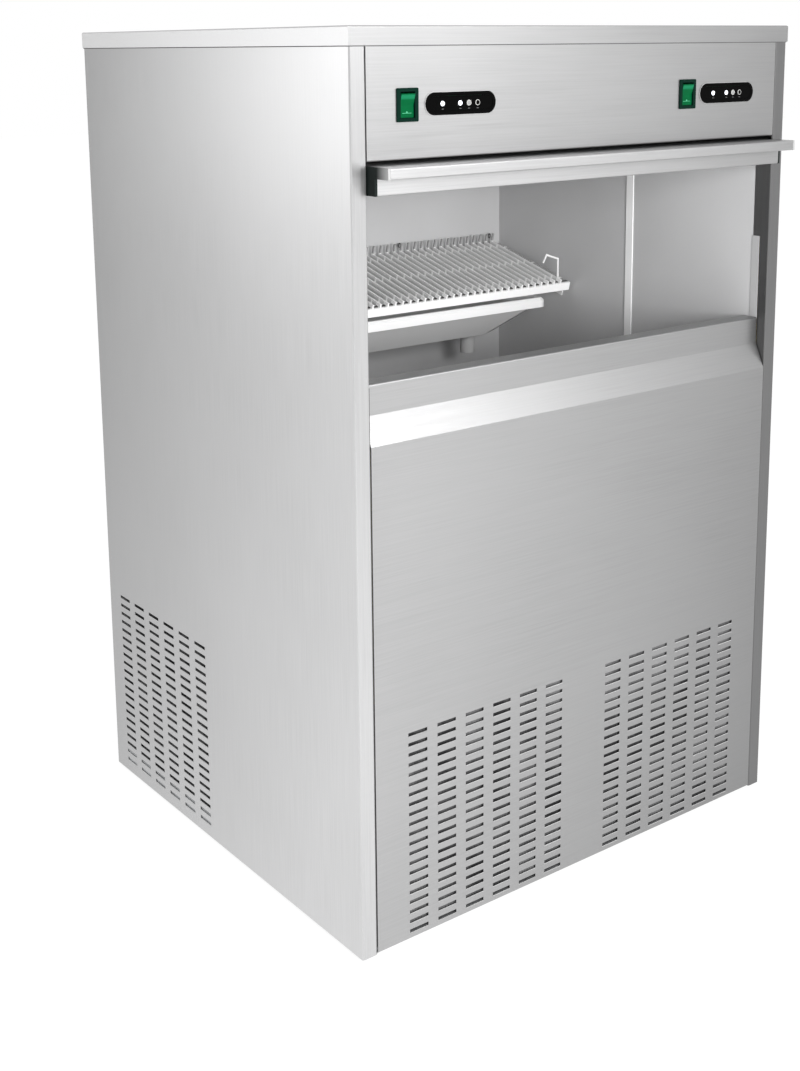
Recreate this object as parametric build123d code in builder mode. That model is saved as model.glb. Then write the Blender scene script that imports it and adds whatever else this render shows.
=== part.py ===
from build123d import *
from math import cos, pi, radians, sin, tan
import os

os.makedirs("parts", exist_ok=True)

# Frame: millimetres, +Z up, front of the machine towards -Y, origin on the floor
# under the middle of the machine.

# Overall size of the cabinet
WIDTH = 680.0
DEPTH = 612.0
HEIGHT = 1040.0

# Sheet metal and general clearances
SHEET = 1.0
BEND = 2.0
FIT = 0.3
RUNNING_FIT = 0.05

# Casing
COVER_OVERHANG = 1.2
COVER_SKIRT = 20.0
FOOT_SHOW = 5.0
FRONT_FLANGE = 20.0
REAR_FLANGE = 15.0
JAMB_RETURN = 14.0
JAMB_RETURN_DEEP = 25.0
JAMB_STEP_FROM_TOP = 268.0
PANEL_GAP = 1.2

# Ventilation slots
SLOT_LENGTH = 27.0
SLOT_HEIGHT = 4.5
SLOT_COLUMNS = 6
SLOT_ROWS = 21
SLOT_COLUMN_PITCH = 41.7
SLOT_ROW_PITCH = 12.15
FRONT_GRILLE_OFF_QUARTER = 5.25
FRONT_GRILLE_Z = 137.0
SIDE_GRILLE_FROM_BACK = 152.5
SIDE_GRILLE_Z = 145.0
SLOTTED_SIDES = ("left",)

# Lower front panel with its slanting hand recess
LOWER_PANEL_FROM_TOP = 375.0
RECESS_BAND = 34.0
RECESS_SLANT = 31.0
RECESS_DEPTH = 14.0
PANEL_TOP_RETURN = 25.0
PANEL_DOWN_TURN = 8.0

# Control panel
CONTROL_PANEL_GAP_TOP = 8.0
CONTROL_PANEL_HEIGHT = 129.5
CONTROL_RETURN = 18.0

# Door
DOOR_SIDE_GAP = 0.8
DOOR_LENGTH = 231.0
DOOR_THICKNESS = 30.0
DOOR_TOP_GAP = 4.5
DOOR_OPEN_REACH = 12.0
LIP_THICKNESS = 12.0
LIP_REACH = 23.0
DOOR_PIVOT_INSET = 12.0
END_CAP = 3.0
PIVOT_RADIUS = 4.0
SLIDER_LENGTH = 18.0
SLIDER_HEIGHT = 16.0
SLIDER_THICKNESS = 9.0
GUIDE_WALL = 2.0

# Bin
BIN_SIDE_CLEARANCE = 1.2
LINER = 1.5
BIN_FLOOR_Z = 330.0
BIN_FRONT_WALL = 45.0
BIN_BACK_SPACE = 77.0
BIN_MOUTH_FRONT = 27.0
BIN_FRONT_BELOW_PANEL = 3.0
BIN_STEP_BEHIND_DOOR = 17.0
CEILING_ABOVE_DOOR = 8.0
CEILING_THICKNESS = 20.0
FOAM_BACK = 24.0
FOAM_FLOOR = 28.0
FOAM_FRONT = 17.5
TRIM_STRIP_BEHIND_STEP = 14.0
TRIM_STRIP_WIDTH = 13.0
TRIM_STRIP_ABOVE_FLOOR = 70.0

# Ice slide
SLIDE_SIDE_GAP = 6.2
SLIDE_BACK_SPACE = 170.0
SLIDE_BELOW_CEILING = 236.0
SLIDE_ANGLE = 15.0
SLIDE_LENGTH = 166.0
SLIDE_BAR_PITCH = 12.75
SLIDE_BAR_WIDTH = 2.6
SLIDE_BAR_HEIGHT = 6.0
SLIDE_END_MARGIN = 19.0
SLIDE_RIB = 3.0
SLIDE_RAIL = 9.0
SLIDE_RAIL_DROP = 12.0
SLIDE_TICK = 18.0
SLIDE_SIDE_RAIL = 4.0

# Water tub
TUB_BELOW_SLIDE = 20.0
TUB_HEIGHT = 48.0
TUB_SIDE_SPACE = 47.2
TUB_END_TAPER = 67.0
TUB_BEHIND_SLIDE_FRONT = 17.0
TUB_BACK_SPACE = 6.3
TUB_TAPER_DEPTH = 20.0
TUB_WALL = 2.5
TUB_LIP = 6.0
TUB_LIP_HEIGHT = 14.0
TUB_CORNER = 14.0

# Freezing units
UNIT_OFF_QUARTER = 4.6
FINGER_RADIUS = 6.0
FINGER_LENGTH = 38.0
FINGER_COLUMNS = 4
FINGER_ROWS = 2
FINGER_PITCH_Y = 46.0
FINGERS_FROM_BACK_WALL = 110.0
EVAPORATOR_STUD = 22.0
EVAPORATOR_PLATE = 8.0
EVAPORATOR_SIDE_SPACE = 26.0
TRAY_SIDE_SPACE = 17.0
TRAY_FRONT_FROM_BACK_WALL = 183.0
TRAY_BACK_FROM_BACK_WALL = 35.0
TRAY_BELOW_EVAPORATOR = 10.0
TRAY_HEIGHT = 40.0
TRAY_WALL = 2.0
TRAY_AXLE_BELOW_RIM = 8.0
TRAY_AXLE_RADIUS = 4.0
HANGER = 2.0

# Cooling plant
CONDENSER_THICKNESS = 40.0
CONDENSER_FROM_FRONT = 20.0
CONDENSER_SIDE_SPACE = 29.15
CONDENSER_FINS = 16
TUBE_RADIUS = 4.0
TUBE_FLATS = 8
FAN_RADIUS = 90.0
FAN_SURROUND = 23.0
FAN_BLADES = 5
FAN_BEHIND_CONDENSER = 32.0
FAN_ABOVE_MIDDLE = 3.5
COMPRESSOR_FROM_BACK = 192.0
COMPRESSOR_RADIUS = 82.0
COMPRESSOR_HEIGHT = 185.0
SERVICE_LINE_FROM_BACK = 27.0

# Switches and displays, measured from the jambs and the control panel's lower edge
CONTROLS_ABOVE_EDGE = 56.5
LEFT_SWITCH_IN = 52.8
LEFT_DISPLAY_IN = 124.3
RIGHT_SWITCH_IN = 161.3
RIGHT_DISPLAY_IN = 90.8
BEZEL_WIDTH = 28.0
BEZEL_HEIGHT = 35.0
BEZEL_FLANGE = 1.6
SWITCH_BODY_WIDTH = 24.0
SWITCH_BODY_HEIGHT = 31.0
SWITCH_BODY_DEPTH = 24.0
ROCKER_WIDTH = 17.6
ROCKER_HEIGHT = 25.0
ROCKER_THROW = 16.0
ROCKER_PIN_RADIUS = 1.5
DISPLAY_WIDTH = 96.0
DISPLAY_HEIGHT = 24.0
DISPLAY_RIM = 2.0
LIGHT_RADIUS = 2.5
LIGHT_FLATS = 12
LIGHT_OFFSETS = (-25.5, -1.5, 10.5, 22.5)

# Rear fittings and the way that they stand out behind the cabinet
FITTING_REACH = 35.0
VALVE_X = 200.0
VALVE_Z = 80.0
DRAIN_Z = 50.0
DRAIN_RADIUS = 10.0
DRAIN_WALL = 2.0
DRAIN_COLLAR = 4.0
DRAIN_FROM_BACK_WALL = 45.0
INLET_X = -200.0
INLET_Z = 80.0

# Planes of the casing
FRONT_DATUM = -DEPTH / 2
FRONT = FRONT_DATUM + COVER_OVERHANG
BACK = DEPTH / 2 - COVER_OVERHANG
CASE_X = WIDTH / 2 - COVER_OVERHANG
CASE_INNER_X = CASE_X - SHEET
JAMB_X = CASE_X - FRONT_FLANGE
CASE_TOP = HEIGHT - SHEET - FIT
JAMB_STEP_Z = HEIGHT - JAMB_STEP_FROM_TOP

# Heights on the front, from the top down
CONTROL_PANEL_TOP = HEIGHT - CONTROL_PANEL_GAP_TOP
CONTROL_PANEL_BOTTOM = CONTROL_PANEL_TOP - CONTROL_PANEL_HEIGHT
CONTROLS_Z = CONTROL_PANEL_BOTTOM + CONTROLS_ABOVE_EDGE
DOOR_OPEN_TOP = CONTROL_PANEL_BOTTOM - DOOR_TOP_GAP
LOWER_PANEL_TOP = HEIGHT - LOWER_PANEL_FROM_TOP
RECESS_BAND_BOTTOM = LOWER_PANEL_TOP - RECESS_BAND
RECESS_SLANT_BOTTOM = RECESS_BAND_BOTTOM - RECESS_SLANT

# Door and bin
DOOR_HALF_WIDTH = JAMB_X - DOOR_SIDE_GAP
DOOR_PIVOT_Z = DOOR_OPEN_TOP - DOOR_PIVOT_INSET
DOOR_BACK = DOOR_LENGTH - DOOR_OPEN_REACH
DOOR_PIVOT_OPEN = DOOR_BACK - DOOR_PIVOT_INSET
BIN_X = DOOR_HALF_WIDTH + BIN_SIDE_CLEARANCE
BIN_BACK_WALL = DEPTH - BIN_BACK_SPACE
BIN_FRONT_TOP = LOWER_PANEL_TOP - BIN_FRONT_BELOW_PANEL
BIN_SIDE_TOP = DOOR_OPEN_TOP - DOOR_THICKNESS
BIN_STEP = DOOR_BACK + BIN_STEP_BEHIND_DOOR
CEILING_Z = DOOR_OPEN_TOP + CEILING_ABOVE_DOOR
TRIM_STRIP_FROM_FRONT = BIN_STEP + TRIM_STRIP_BEHIND_STEP
TRIM_STRIP_BOTTOM = BIN_FLOOR_Z + TRIM_STRIP_ABOVE_FLOOR

# Ice slide and tub
SLIDE_HALF_WIDTH = BIN_X - SLIDE_SIDE_GAP
SLIDE_BARS = 1 + int(2 * (SLIDE_HALF_WIDTH - SLIDE_END_MARGIN) / SLIDE_BAR_PITCH)
SLIDE_FRONT = BIN_BACK_WALL - SLIDE_BACK_SPACE
SLIDE_FRONT_Z = CEILING_Z - SLIDE_BELOW_CEILING
TUB_TOP_Z = SLIDE_FRONT_Z - TUB_BELOW_SLIDE
TUB_BOTTOM_Z = TUB_TOP_Z - TUB_HEIGHT
TUB_TOP_HALF_WIDTH = BIN_X - TUB_SIDE_SPACE
TUB_BOTTOM_HALF_WIDTH = TUB_TOP_HALF_WIDTH - TUB_END_TAPER
TUB_FRONT = SLIDE_FRONT + TUB_BEHIND_SLIDE_FRONT
TUB_BACK = BIN_BACK_WALL - TUB_BACK_SPACE

# Freezing units under the ceiling
UNIT_X = BIN_X / 2 - UNIT_OFF_QUARTER
EVAPORATOR_BOTTOM = CEILING_Z - EVAPORATOR_STUD - EVAPORATOR_PLATE
TRAY_HALF_WIDTH = UNIT_X - TRAY_SIDE_SPACE
FINGER_PITCH_X = 2 * (TRAY_HALF_WIDTH - EVAPORATOR_SIDE_SPACE) / FINGER_COLUMNS
FINGERS_FROM_FRONT = BIN_BACK_WALL - FINGERS_FROM_BACK_WALL
TRAY_FRONT = BIN_BACK_WALL - TRAY_FRONT_FROM_BACK_WALL
TRAY_BACK = BIN_BACK_WALL - TRAY_BACK_FROM_BACK_WALL
TRAY_TOP = EVAPORATOR_BOTTOM - TRAY_BELOW_EVAPORATOR
TRAY_BOTTOM = TRAY_TOP - TRAY_HEIGHT
TRAY_AXLE_Z = TRAY_TOP - TRAY_AXLE_BELOW_RIM

# Cooling plant and controls
PAN_Z = 12.0
PAN_SHEET = 1.5
FRONT_GRILLE_X = JAMB_X / 2 - FRONT_GRILLE_OFF_QUARTER
SIDE_GRILLE_FROM_FRONT = DEPTH - SIDE_GRILLE_FROM_BACK
CONDENSER_WIDTH = 2 * (FRONT_GRILLE_X - CONDENSER_SIDE_SPACE)
CONDENSER_HEIGHT = 2 * (FAN_RADIUS + FAN_SURROUND)
FAN_FROM_FRONT = CONDENSER_FROM_FRONT + CONDENSER_THICKNESS + FAN_BEHIND_CONDENSER
FAN_Z = PAN_Z + PAN_SHEET + CONDENSER_HEIGHT / 2 + FAN_ABOVE_MIDDLE
COMPRESSOR_FROM_FRONT = DEPTH - COMPRESSOR_FROM_BACK
SERVICE_LINE_FROM_FRONT = DEPTH - SERVICE_LINE_FROM_BACK
DRAIN_FROM_FRONT = BIN_BACK_WALL - DRAIN_FROM_BACK_WALL
SWITCH_X = {"left": LEFT_SWITCH_IN - JAMB_X, "right": JAMB_X - RIGHT_SWITCH_IN}
DISPLAY_X = {"left": LEFT_DISPLAY_IN - JAMB_X, "right": JAMB_X - RIGHT_DISPLAY_IN}
SIDES = (("left", -1), ("right", 1))


def y_at(depth):
    """Y of a point that lies the given depth behind the cover's front face."""
    return FRONT_DATUM + depth


def block(x_range, y_range, z_range, mode=Mode.ADD):
    """Rectangular block between two values on each axis."""
    size = [abs(b - a) for a, b in (x_range, y_range, z_range)]
    middle = [(a + b) / 2 for a, b in (x_range, y_range, z_range)]
    with Locations(tuple(middle)):
        Box(*size, mode=mode)


def fold(points, inner_side, bend=BEND):
    """Section of a sheet that is folded along the points."""
    with BuildSketch() as section:
        with BuildLine():
            FilletPolyline(*points, radius=bend)
            offset(amount=SHEET, side=inner_side)
        make_face()
    return section.sketch


def slots():
    """Rows and columns of ventilation slots, in the sketch that is open."""
    with GridLocations(SLOT_COLUMN_PITCH, SLOT_ROW_PITCH, SLOT_COLUMNS, SLOT_ROWS):
        Rectangle(SLOT_LENGTH, SLOT_HEIGHT)


def tube(points, radius=TUBE_RADIUS, flats=TUBE_FLATS):
    """Bar with flats round it, and a mitred elbow at each corner of the route."""
    with BuildPart() as bar:
        with BuildLine() as route:
            Polyline(*points)
        with BuildSketch(Plane(origin=route.line @ 0, z_dir=route.line % 0)):
            RegularPolygon(radius, flats)
        sweep(path=route.line, transition=Transition.RIGHT)
    return bar.part


def pipe(points, radius, wall):
    """Round pipe with a mitred elbow at each corner of the route."""
    with BuildPart() as hollow:
        with BuildLine() as route:
            Polyline(*points)
        with BuildSketch(Plane(origin=route.line @ 0, z_dir=route.line % 0)):
            Circle(radius)
            Circle(radius - wall, mode=Mode.SUBTRACT)
        sweep(path=route.line, transition=Transition.RIGHT)
    return hollow.part


def softened(points, cut):
    """The same route with each corner cut off at both sides by a short run."""
    corners = [Vector(*point) for point in points]
    route = [corners[0]]
    for before, corner, after in zip(corners, corners[1:], corners[2:]):
        route.append(corner + (before - corner).normalized() * cut)
        route.append(corner + (after - corner).normalized() * cut)
    route.append(corners[-1])
    return route


def finish(builder, name):
    builder.part.label = name
    export_step(builder.part, f"parts/{name}.step")


# Top cover: one folded sheet with a skirt all round
with BuildPart() as top_cover:
    block((-WIDTH / 2, WIDTH / 2), (-DEPTH / 2, DEPTH / 2), (HEIGHT - COVER_SKIRT, HEIGHT))
    fillet(top_cover.edges().group_by(Axis.Z)[-1], radius=BEND)
    inner_x = WIDTH / 2 - SHEET
    inner_y = DEPTH / 2 - SHEET
    block(
        (-inner_x, inner_x),
        (-inner_y, inner_y),
        (HEIGHT - COVER_SKIRT, HEIGHT - SHEET),
        mode=Mode.SUBTRACT,
    )
finish(top_cover, "top_cover")

# Side panels: front flange, return into the mouth and rear flange, folded from one sheet
for side, sign in SIDES:
    with BuildPart() as side_panel:
        with BuildSketch(Plane.XY.offset(FOOT_SHOW)):
            outline = [
                (sign * JAMB_X, FRONT + JAMB_RETURN_DEEP),
                (sign * JAMB_X, FRONT),
                (sign * CASE_X, FRONT),
                (sign * CASE_X, BACK),
                (sign * (CASE_X - REAR_FLANGE), BACK),
            ]
            add(fold(outline, Side.RIGHT if sign < 0 else Side.LEFT))
        extrude(amount=CASE_TOP - FOOT_SHOW)
        return_x = (sign * (JAMB_X - SHEET), sign * (JAMB_X + 2 * SHEET))
        deep_y = FRONT + JAMB_RETURN_DEEP + SHEET
        block(return_x, (FRONT + JAMB_RETURN, deep_y), (0, JAMB_STEP_Z), mode=Mode.SUBTRACT)
        above_bin = BIN_SIDE_TOP + 2 * SHEET
        block(return_x, (FRONT + BEND, deep_y), (above_bin, HEIGHT), mode=Mode.SUBTRACT)
        if side in SLOTTED_SIDES:
            grille = Plane(
                origin=(sign * CASE_X, y_at(SIDE_GRILLE_FROM_FRONT), SIDE_GRILLE_Z),
                x_dir=(0, sign, 0),
                z_dir=(sign, 0, 0),
            )
            with BuildSketch(grille):
                slots()
            extrude(amount=-2 * SHEET, mode=Mode.SUBTRACT)
    finish(side_panel, f"{side}_side_panel")

# Rear panel inside the rear flanges, with two blocks of wide vents and the fittings' holes
REAR_PANEL_Y = BACK - SHEET - FIT - SHEET
REAR_VENT_LENGTH = 180.0
REAR_VENT_HEIGHT = 6.0
REAR_VENT_PITCH = 16.0
REAR_VENT_ROWS = 8
VALVE_HOLE_RADIUS = 14.0
INLET_HOLE_RADIUS = 10.0
with BuildPart() as rear_panel:
    rear_plane = Plane(origin=(0, REAR_PANEL_Y, 0), x_dir=(1, 0, 0), z_dir=(0, -1, 0))
    with BuildSketch(rear_plane):
        with Locations((0, (CASE_TOP + FOOT_SHOW) / 2)):
            Rectangle(2 * (CASE_INNER_X - FIT), CASE_TOP - FOOT_SHOW - 2 * SHEET)
        for centre_x in (-UNIT_X, UNIT_X):
            with Locations((centre_x, 2 * FRONT_GRILLE_Z - REAR_VENT_PITCH * 2)):
                with GridLocations(1, REAR_VENT_PITCH, 1, REAR_VENT_ROWS):
                    Rectangle(REAR_VENT_LENGTH, REAR_VENT_HEIGHT, mode=Mode.SUBTRACT)
        with Locations((VALVE_X, VALVE_Z)):
            Circle(VALVE_HOLE_RADIUS, mode=Mode.SUBTRACT)
        with Locations((0, DRAIN_Z)):
            Circle(DRAIN_RADIUS + FIT, mode=Mode.SUBTRACT)
        with Locations((INLET_X, INLET_Z)):
            Circle(INLET_HOLE_RADIUS, mode=Mode.SUBTRACT)
    extrude(amount=-SHEET)
finish(rear_panel, "rear_panel")

# Base pan: floor with upturned sides and back and a front edge turned down
PAN_UPSTAND = 24.0
FOOT_FROM_SIDE = 38.8
FOOT_FROM_BACK = 89.8
FOOT_STEM_RADIUS = 5.0
FOOT_X = CASE_X - FOOT_FROM_SIDE
FOOT_Y = BACK - FOOT_FROM_BACK
with BuildPart() as base_pan:
    pan_x = CASE_INNER_X - FIT
    pan_front = FRONT + SHEET + FIT
    pan_back = REAR_PANEL_Y - FIT
    block((-pan_x, pan_x), (pan_front, pan_back), (PAN_Z, PAN_Z + PAN_SHEET))
    for sign in (-1, 1):
        upright = (sign * (pan_x - PAN_SHEET), sign * pan_x)
        block(upright, (pan_front + 2 * BEND, pan_back), (PAN_Z, PAN_Z + PAN_UPSTAND))
    block((-pan_x, pan_x), (pan_back - PAN_SHEET, pan_back), (PAN_Z, PAN_Z + PAN_UPSTAND))
    front_edge_x = JAMB_X - FIT
    front_edge_z = (FOOT_SHOW + 4 * SHEET, PAN_Z)
    block((-front_edge_x, front_edge_x), (pan_front, pan_front + PAN_SHEET), front_edge_z)
    for sign in (-1, 1):
        notch_x = (sign * front_edge_x, sign * (pan_x + FIT))
        notch_y = (pan_front, FRONT + JAMB_RETURN + FIT)
        block(notch_x, notch_y, (PAN_Z, PAN_Z + PAN_UPSTAND), mode=Mode.SUBTRACT)
    with BuildSketch(Plane.XY.offset(PAN_Z)):
        with GridLocations(2 * FOOT_X, 2 * FOOT_Y, 2, 2):
            RegularPolygon(FOOT_STEM_RADIUS + FIT, TUBE_FLATS)
    extrude(amount=PAN_SHEET, mode=Mode.SUBTRACT)
finish(base_pan, "base_pan")

# Levelling feet: six-sided pad with a stem through the pan
FOOT_PAD_RADIUS = 15.0
FOOT_STEM_ABOVE_PAN = 10.0
with BuildPart() as levelling_feet:
    with BuildSketch():
        with GridLocations(2 * FOOT_X, 2 * FOOT_Y, 2, 2):
            RegularPolygon(FOOT_PAD_RADIUS, 6)
    extrude(amount=PAN_Z - FIT)
    with BuildSketch(Plane.XY.offset(PAN_Z - FIT)):
        with GridLocations(2 * FOOT_X, 2 * FOOT_Y, 2, 2):
            RegularPolygon(FOOT_STEM_RADIUS, TUBE_FLATS)
    extrude(amount=PAN_SHEET + FOOT_STEM_ABOVE_PAN)
finish(levelling_feet, "levelling_feet")

# Lower front panel: folded with the slanting recess and cut with both grilles
with BuildPart() as lower_front_panel:
    with BuildSketch(Plane.YZ):
        recess_y = FRONT + RECESS_DEPTH
        outline = [
            (FRONT + JAMB_RETURN, FOOT_SHOW + SHEET),
            (FRONT, FOOT_SHOW + SHEET),
            (FRONT, RECESS_SLANT_BOTTOM),
            (recess_y, RECESS_BAND_BOTTOM),
            (recess_y, LOWER_PANEL_TOP),
            (recess_y + PANEL_TOP_RETURN, LOWER_PANEL_TOP),
            (recess_y + PANEL_TOP_RETURN, LOWER_PANEL_TOP - PANEL_DOWN_TURN),
        ]
        add(fold(outline, Side.RIGHT))
    extrude(amount=JAMB_X - PANEL_GAP, both=True)
    for sign in (-1, 1):
        grille = Plane(
            origin=(sign * FRONT_GRILLE_X, FRONT, FRONT_GRILLE_Z),
            x_dir=(1, 0, 0),
            z_dir=(0, -1, 0),
        )
        with BuildSketch(grille):
            slots()
        extrude(amount=-2 * SHEET, mode=Mode.SUBTRACT)
finish(lower_front_panel, "lower_front_panel")

# Control panel: flat face with folded edges and cut-outs for switches and displays
control_plane = Plane(origin=(0, FRONT, CONTROLS_Z), x_dir=(1, 0, 0), z_dir=(0, -1, 0))
with BuildPart() as control_panel:
    with BuildSketch(Plane.YZ):
        outline = [
            (FRONT + CONTROL_RETURN, CONTROL_PANEL_BOTTOM),
            (FRONT, CONTROL_PANEL_BOTTOM),
            (FRONT, CONTROL_PANEL_TOP),
            (FRONT + CONTROL_RETURN, CONTROL_PANEL_TOP),
        ]
        add(fold(outline, Side.RIGHT))
    extrude(amount=JAMB_X - PANEL_GAP / 2, both=True)
    with BuildSketch(control_plane):
        for side in SWITCH_X:
            with Locations((SWITCH_X[side], 0)):
                Rectangle(SWITCH_BODY_WIDTH + FIT, SWITCH_BODY_HEIGHT + FIT)
            with Locations((DISPLAY_X[side], 0)):
                body_height = DISPLAY_HEIGHT - 2 * DISPLAY_RIM + FIT
                SlotOverall(DISPLAY_WIDTH - 2 * DISPLAY_RIM + FIT, body_height)
    extrude(amount=-2 * SHEET, mode=Mode.SUBTRACT)
finish(control_panel, "control_panel")

# Switches: a bezel frame clipped in the panel and a rocker on two pins
ROCKER_PIVOT_DEPTH = 5.0
ROCKER_FACE = 6.4
ROCKER_DISH = 2.0
ROCKER_BELLY = 8.0
ROCKER_PIN_REACH = 1.5
BEZEL_CORNER = 1.5
SWITCH_WELL_DEPTH = 16.0


def rocker_section():
    """Rocker seen from its end, about its pivot, with the front face towards -X."""
    half = ROCKER_HEIGHT / 2
    shoulder = ROCKER_DISH - ROCKER_FACE / 2
    with BuildSketch() as section:
        with BuildLine():
            Polyline((shoulder, -half), (-ROCKER_FACE, -half), (ROCKER_DISH - ROCKER_FACE, 0),
                     (-ROCKER_FACE, half), (shoulder, half))
            ThreePointArc((shoulder, half), (ROCKER_BELLY, 0), (shoulder, -half))
        make_face()
    return section.sketch


for side in SWITCH_X:
    switch_plane = Plane(
        origin=(SWITCH_X[side], FRONT, CONTROLS_Z),
        x_dir=(1, 0, 0),
        z_dir=(0, -1, 0),
    )
    well_width = ROCKER_WIDTH + 4 * FIT
    well_height = ROCKER_HEIGHT + 8 * FIT
    with BuildPart() as switch_bezel:
        with BuildSketch(switch_plane):
            RectangleRounded(BEZEL_WIDTH, BEZEL_HEIGHT, BEZEL_CORNER)
        extrude(amount=BEZEL_FLANGE)
        with BuildSketch(switch_plane):
            Rectangle(SWITCH_BODY_WIDTH, SWITCH_BODY_HEIGHT)
        extrude(amount=-SWITCH_BODY_DEPTH)
        with BuildSketch(switch_plane.offset(BEZEL_FLANGE)):
            Rectangle(well_width, well_height)
        extrude(amount=-(BEZEL_FLANGE + SWITCH_WELL_DEPTH), mode=Mode.SUBTRACT)
        with BuildSketch(Plane.YZ.offset(SWITCH_X[side])):
            with Locations((FRONT + ROCKER_PIVOT_DEPTH, CONTROLS_Z)):
                Circle(ROCKER_PIN_RADIUS + RUNNING_FIT)
        socket_reach = well_width / 2 + ROCKER_PIN_REACH + FIT
        extrude(amount=socket_reach, both=True, mode=Mode.SUBTRACT)
    finish(switch_bezel, f"switch_bezel_{side}")

    # The rocker rests with its lower half pressed in, so it is turned by half the throw
    with BuildPart() as switch_rocker:
        with BuildSketch(Plane.YZ.offset(SWITCH_X[side])):
            with Locations(Location((FRONT + ROCKER_PIVOT_DEPTH, CONTROLS_Z), ROCKER_THROW / 2)):
                add(rocker_section())
        extrude(amount=ROCKER_WIDTH / 2, both=True)
        with BuildSketch(Plane.YZ.offset(SWITCH_X[side])):
            with Locations((FRONT + ROCKER_PIVOT_DEPTH, CONTROLS_Z)):
                Circle(ROCKER_PIN_RADIUS)
        extrude(amount=well_width / 2 + ROCKER_PIN_REACH, both=True)
    finish(switch_rocker, f"switch_rocker_{side}")

# Displays: oval bezel, dark window behind its rim and round indicator lights
DISPLAY_DEPTH = 12.0
WINDOW = 1.0
for side in DISPLAY_X:
    display_plane = Plane(
        origin=(DISPLAY_X[side], FRONT, CONTROLS_Z),
        x_dir=(1, 0, 0),
        z_dir=(0, -1, 0),
    )
    inner_width = DISPLAY_WIDTH - 4 * DISPLAY_RIM
    inner_height = DISPLAY_HEIGHT - 4 * DISPLAY_RIM
    with BuildPart() as display_bezel:
        with BuildSketch(display_plane):
            SlotOverall(DISPLAY_WIDTH, DISPLAY_HEIGHT)
        extrude(amount=BEZEL_FLANGE)
        with BuildSketch(display_plane):
            SlotOverall(DISPLAY_WIDTH - 2 * DISPLAY_RIM, DISPLAY_HEIGHT - 2 * DISPLAY_RIM)
        extrude(amount=-DISPLAY_DEPTH)
        with BuildSketch(display_plane.offset(BEZEL_FLANGE)):
            SlotOverall(inner_width, inner_height)
        extrude(amount=-(BEZEL_FLANGE + DISPLAY_DEPTH), mode=Mode.SUBTRACT)
    finish(display_bezel, f"display_bezel_{side}")

    with BuildPart() as display_window:
        with BuildSketch(display_plane.offset(BEZEL_FLANGE - WINDOW)):
            SlotOverall(inner_width - 2 * FIT, inner_height - 2 * FIT)
        extrude(amount=WINDOW - FIT)
    finish(display_window, f"display_window_{side}")

with BuildPart() as indicator_lights:
    light_plane = control_plane.offset(BEZEL_FLANGE - FIT)
    with BuildSketch(light_plane):
        for side in DISPLAY_X:
            for along in LIGHT_OFFSETS:
                with Locations((DISPLAY_X[side] + along, 0)):
                    RegularPolygon(LIGHT_RADIUS, LIGHT_FLATS)
    extrude(amount=FIT)
finish(indicator_lights, "indicator_lights")

# Control boards: one behind each display, with its relay
BOARD_LENGTH = 110.0
BOARD_HEIGHT = 60.0
BOARD = 1.6
BOARD_SHIFT = 5.0
RELAY = (22.0, 18.4, 18.0)
RELAY_FROM_END = 8.0
with BuildPart() as control_boards:
    for side in DISPLAY_X:
        board_y = FRONT + DISPLAY_DEPTH + FIT
        board_x = DISPLAY_X[side] + BOARD_SHIFT
        relay_x = board_x + BOARD_LENGTH / 2 - RELAY_FROM_END - RELAY[0] / 2
        with Locations((board_x, board_y + BOARD / 2, CONTROLS_Z)):
            Box(BOARD_LENGTH, BOARD, BOARD_HEIGHT)
        with Locations((relay_x, board_y + BOARD + RELAY[1] / 2, CONTROLS_Z)):
            Box(*RELAY)
finish(control_boards, "control_boards")

# Door, shown open: folded stainless skin whose lip is the grip
door_rear = y_at(DOOR_BACK)
door_front = y_at(-DOOR_OPEN_REACH)
lip_front = door_front - LIP_REACH
lip_under = DOOR_OPEN_TOP - LIP_THICKNESS
door_under = DOOR_OPEN_TOP - DOOR_THICKNESS
skin_x = DOOR_HALF_WIDTH - END_CAP - FIT / 2
with BuildPart() as door_skin:
    with BuildSketch(Plane.YZ):
        outline = [
            (door_rear, door_under + 2 * SHEET),
            (door_rear, DOOR_OPEN_TOP),
            (lip_front, DOOR_OPEN_TOP),
            (lip_front, lip_under),
            (door_front, lip_under),
            (door_front, door_under),
            (door_front + 5 * BEND, door_under),
        ]
        add(fold(outline, Side.LEFT, bend=0.9 * BEND))
    extrude(amount=skin_x, both=True)
finish(door_skin, "door_skin")

# Inner door panel: tray that closes the underside
DISH_MARGIN = 30.0
with BuildPart() as door_inner_panel:
    panel_front = door_front + 5 * BEND + FIT
    block((-skin_x, skin_x), (panel_front, door_rear), (door_under, door_under + 2 * SHEET - FIT))
    dish_x = skin_x - DISH_MARGIN
    dish_y = (door_front + DISH_MARGIN, door_rear - DISH_MARGIN)
    block((-dish_x, dish_x), dish_y, (door_under, door_under + SHEET), mode=Mode.SUBTRACT)
finish(door_inner_panel, "door_inner_panel")

with BuildPart() as door_foam:
    foam_top = DOOR_OPEN_TOP - SHEET - FIT
    foam_bottom = door_under + 2 * SHEET
    foam_y = (door_front + SHEET + FIT, door_rear - SHEET - FIT)
    block((-skin_x, skin_x), foam_y, (foam_bottom, foam_top))
finish(door_foam, "door_foam")

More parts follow.
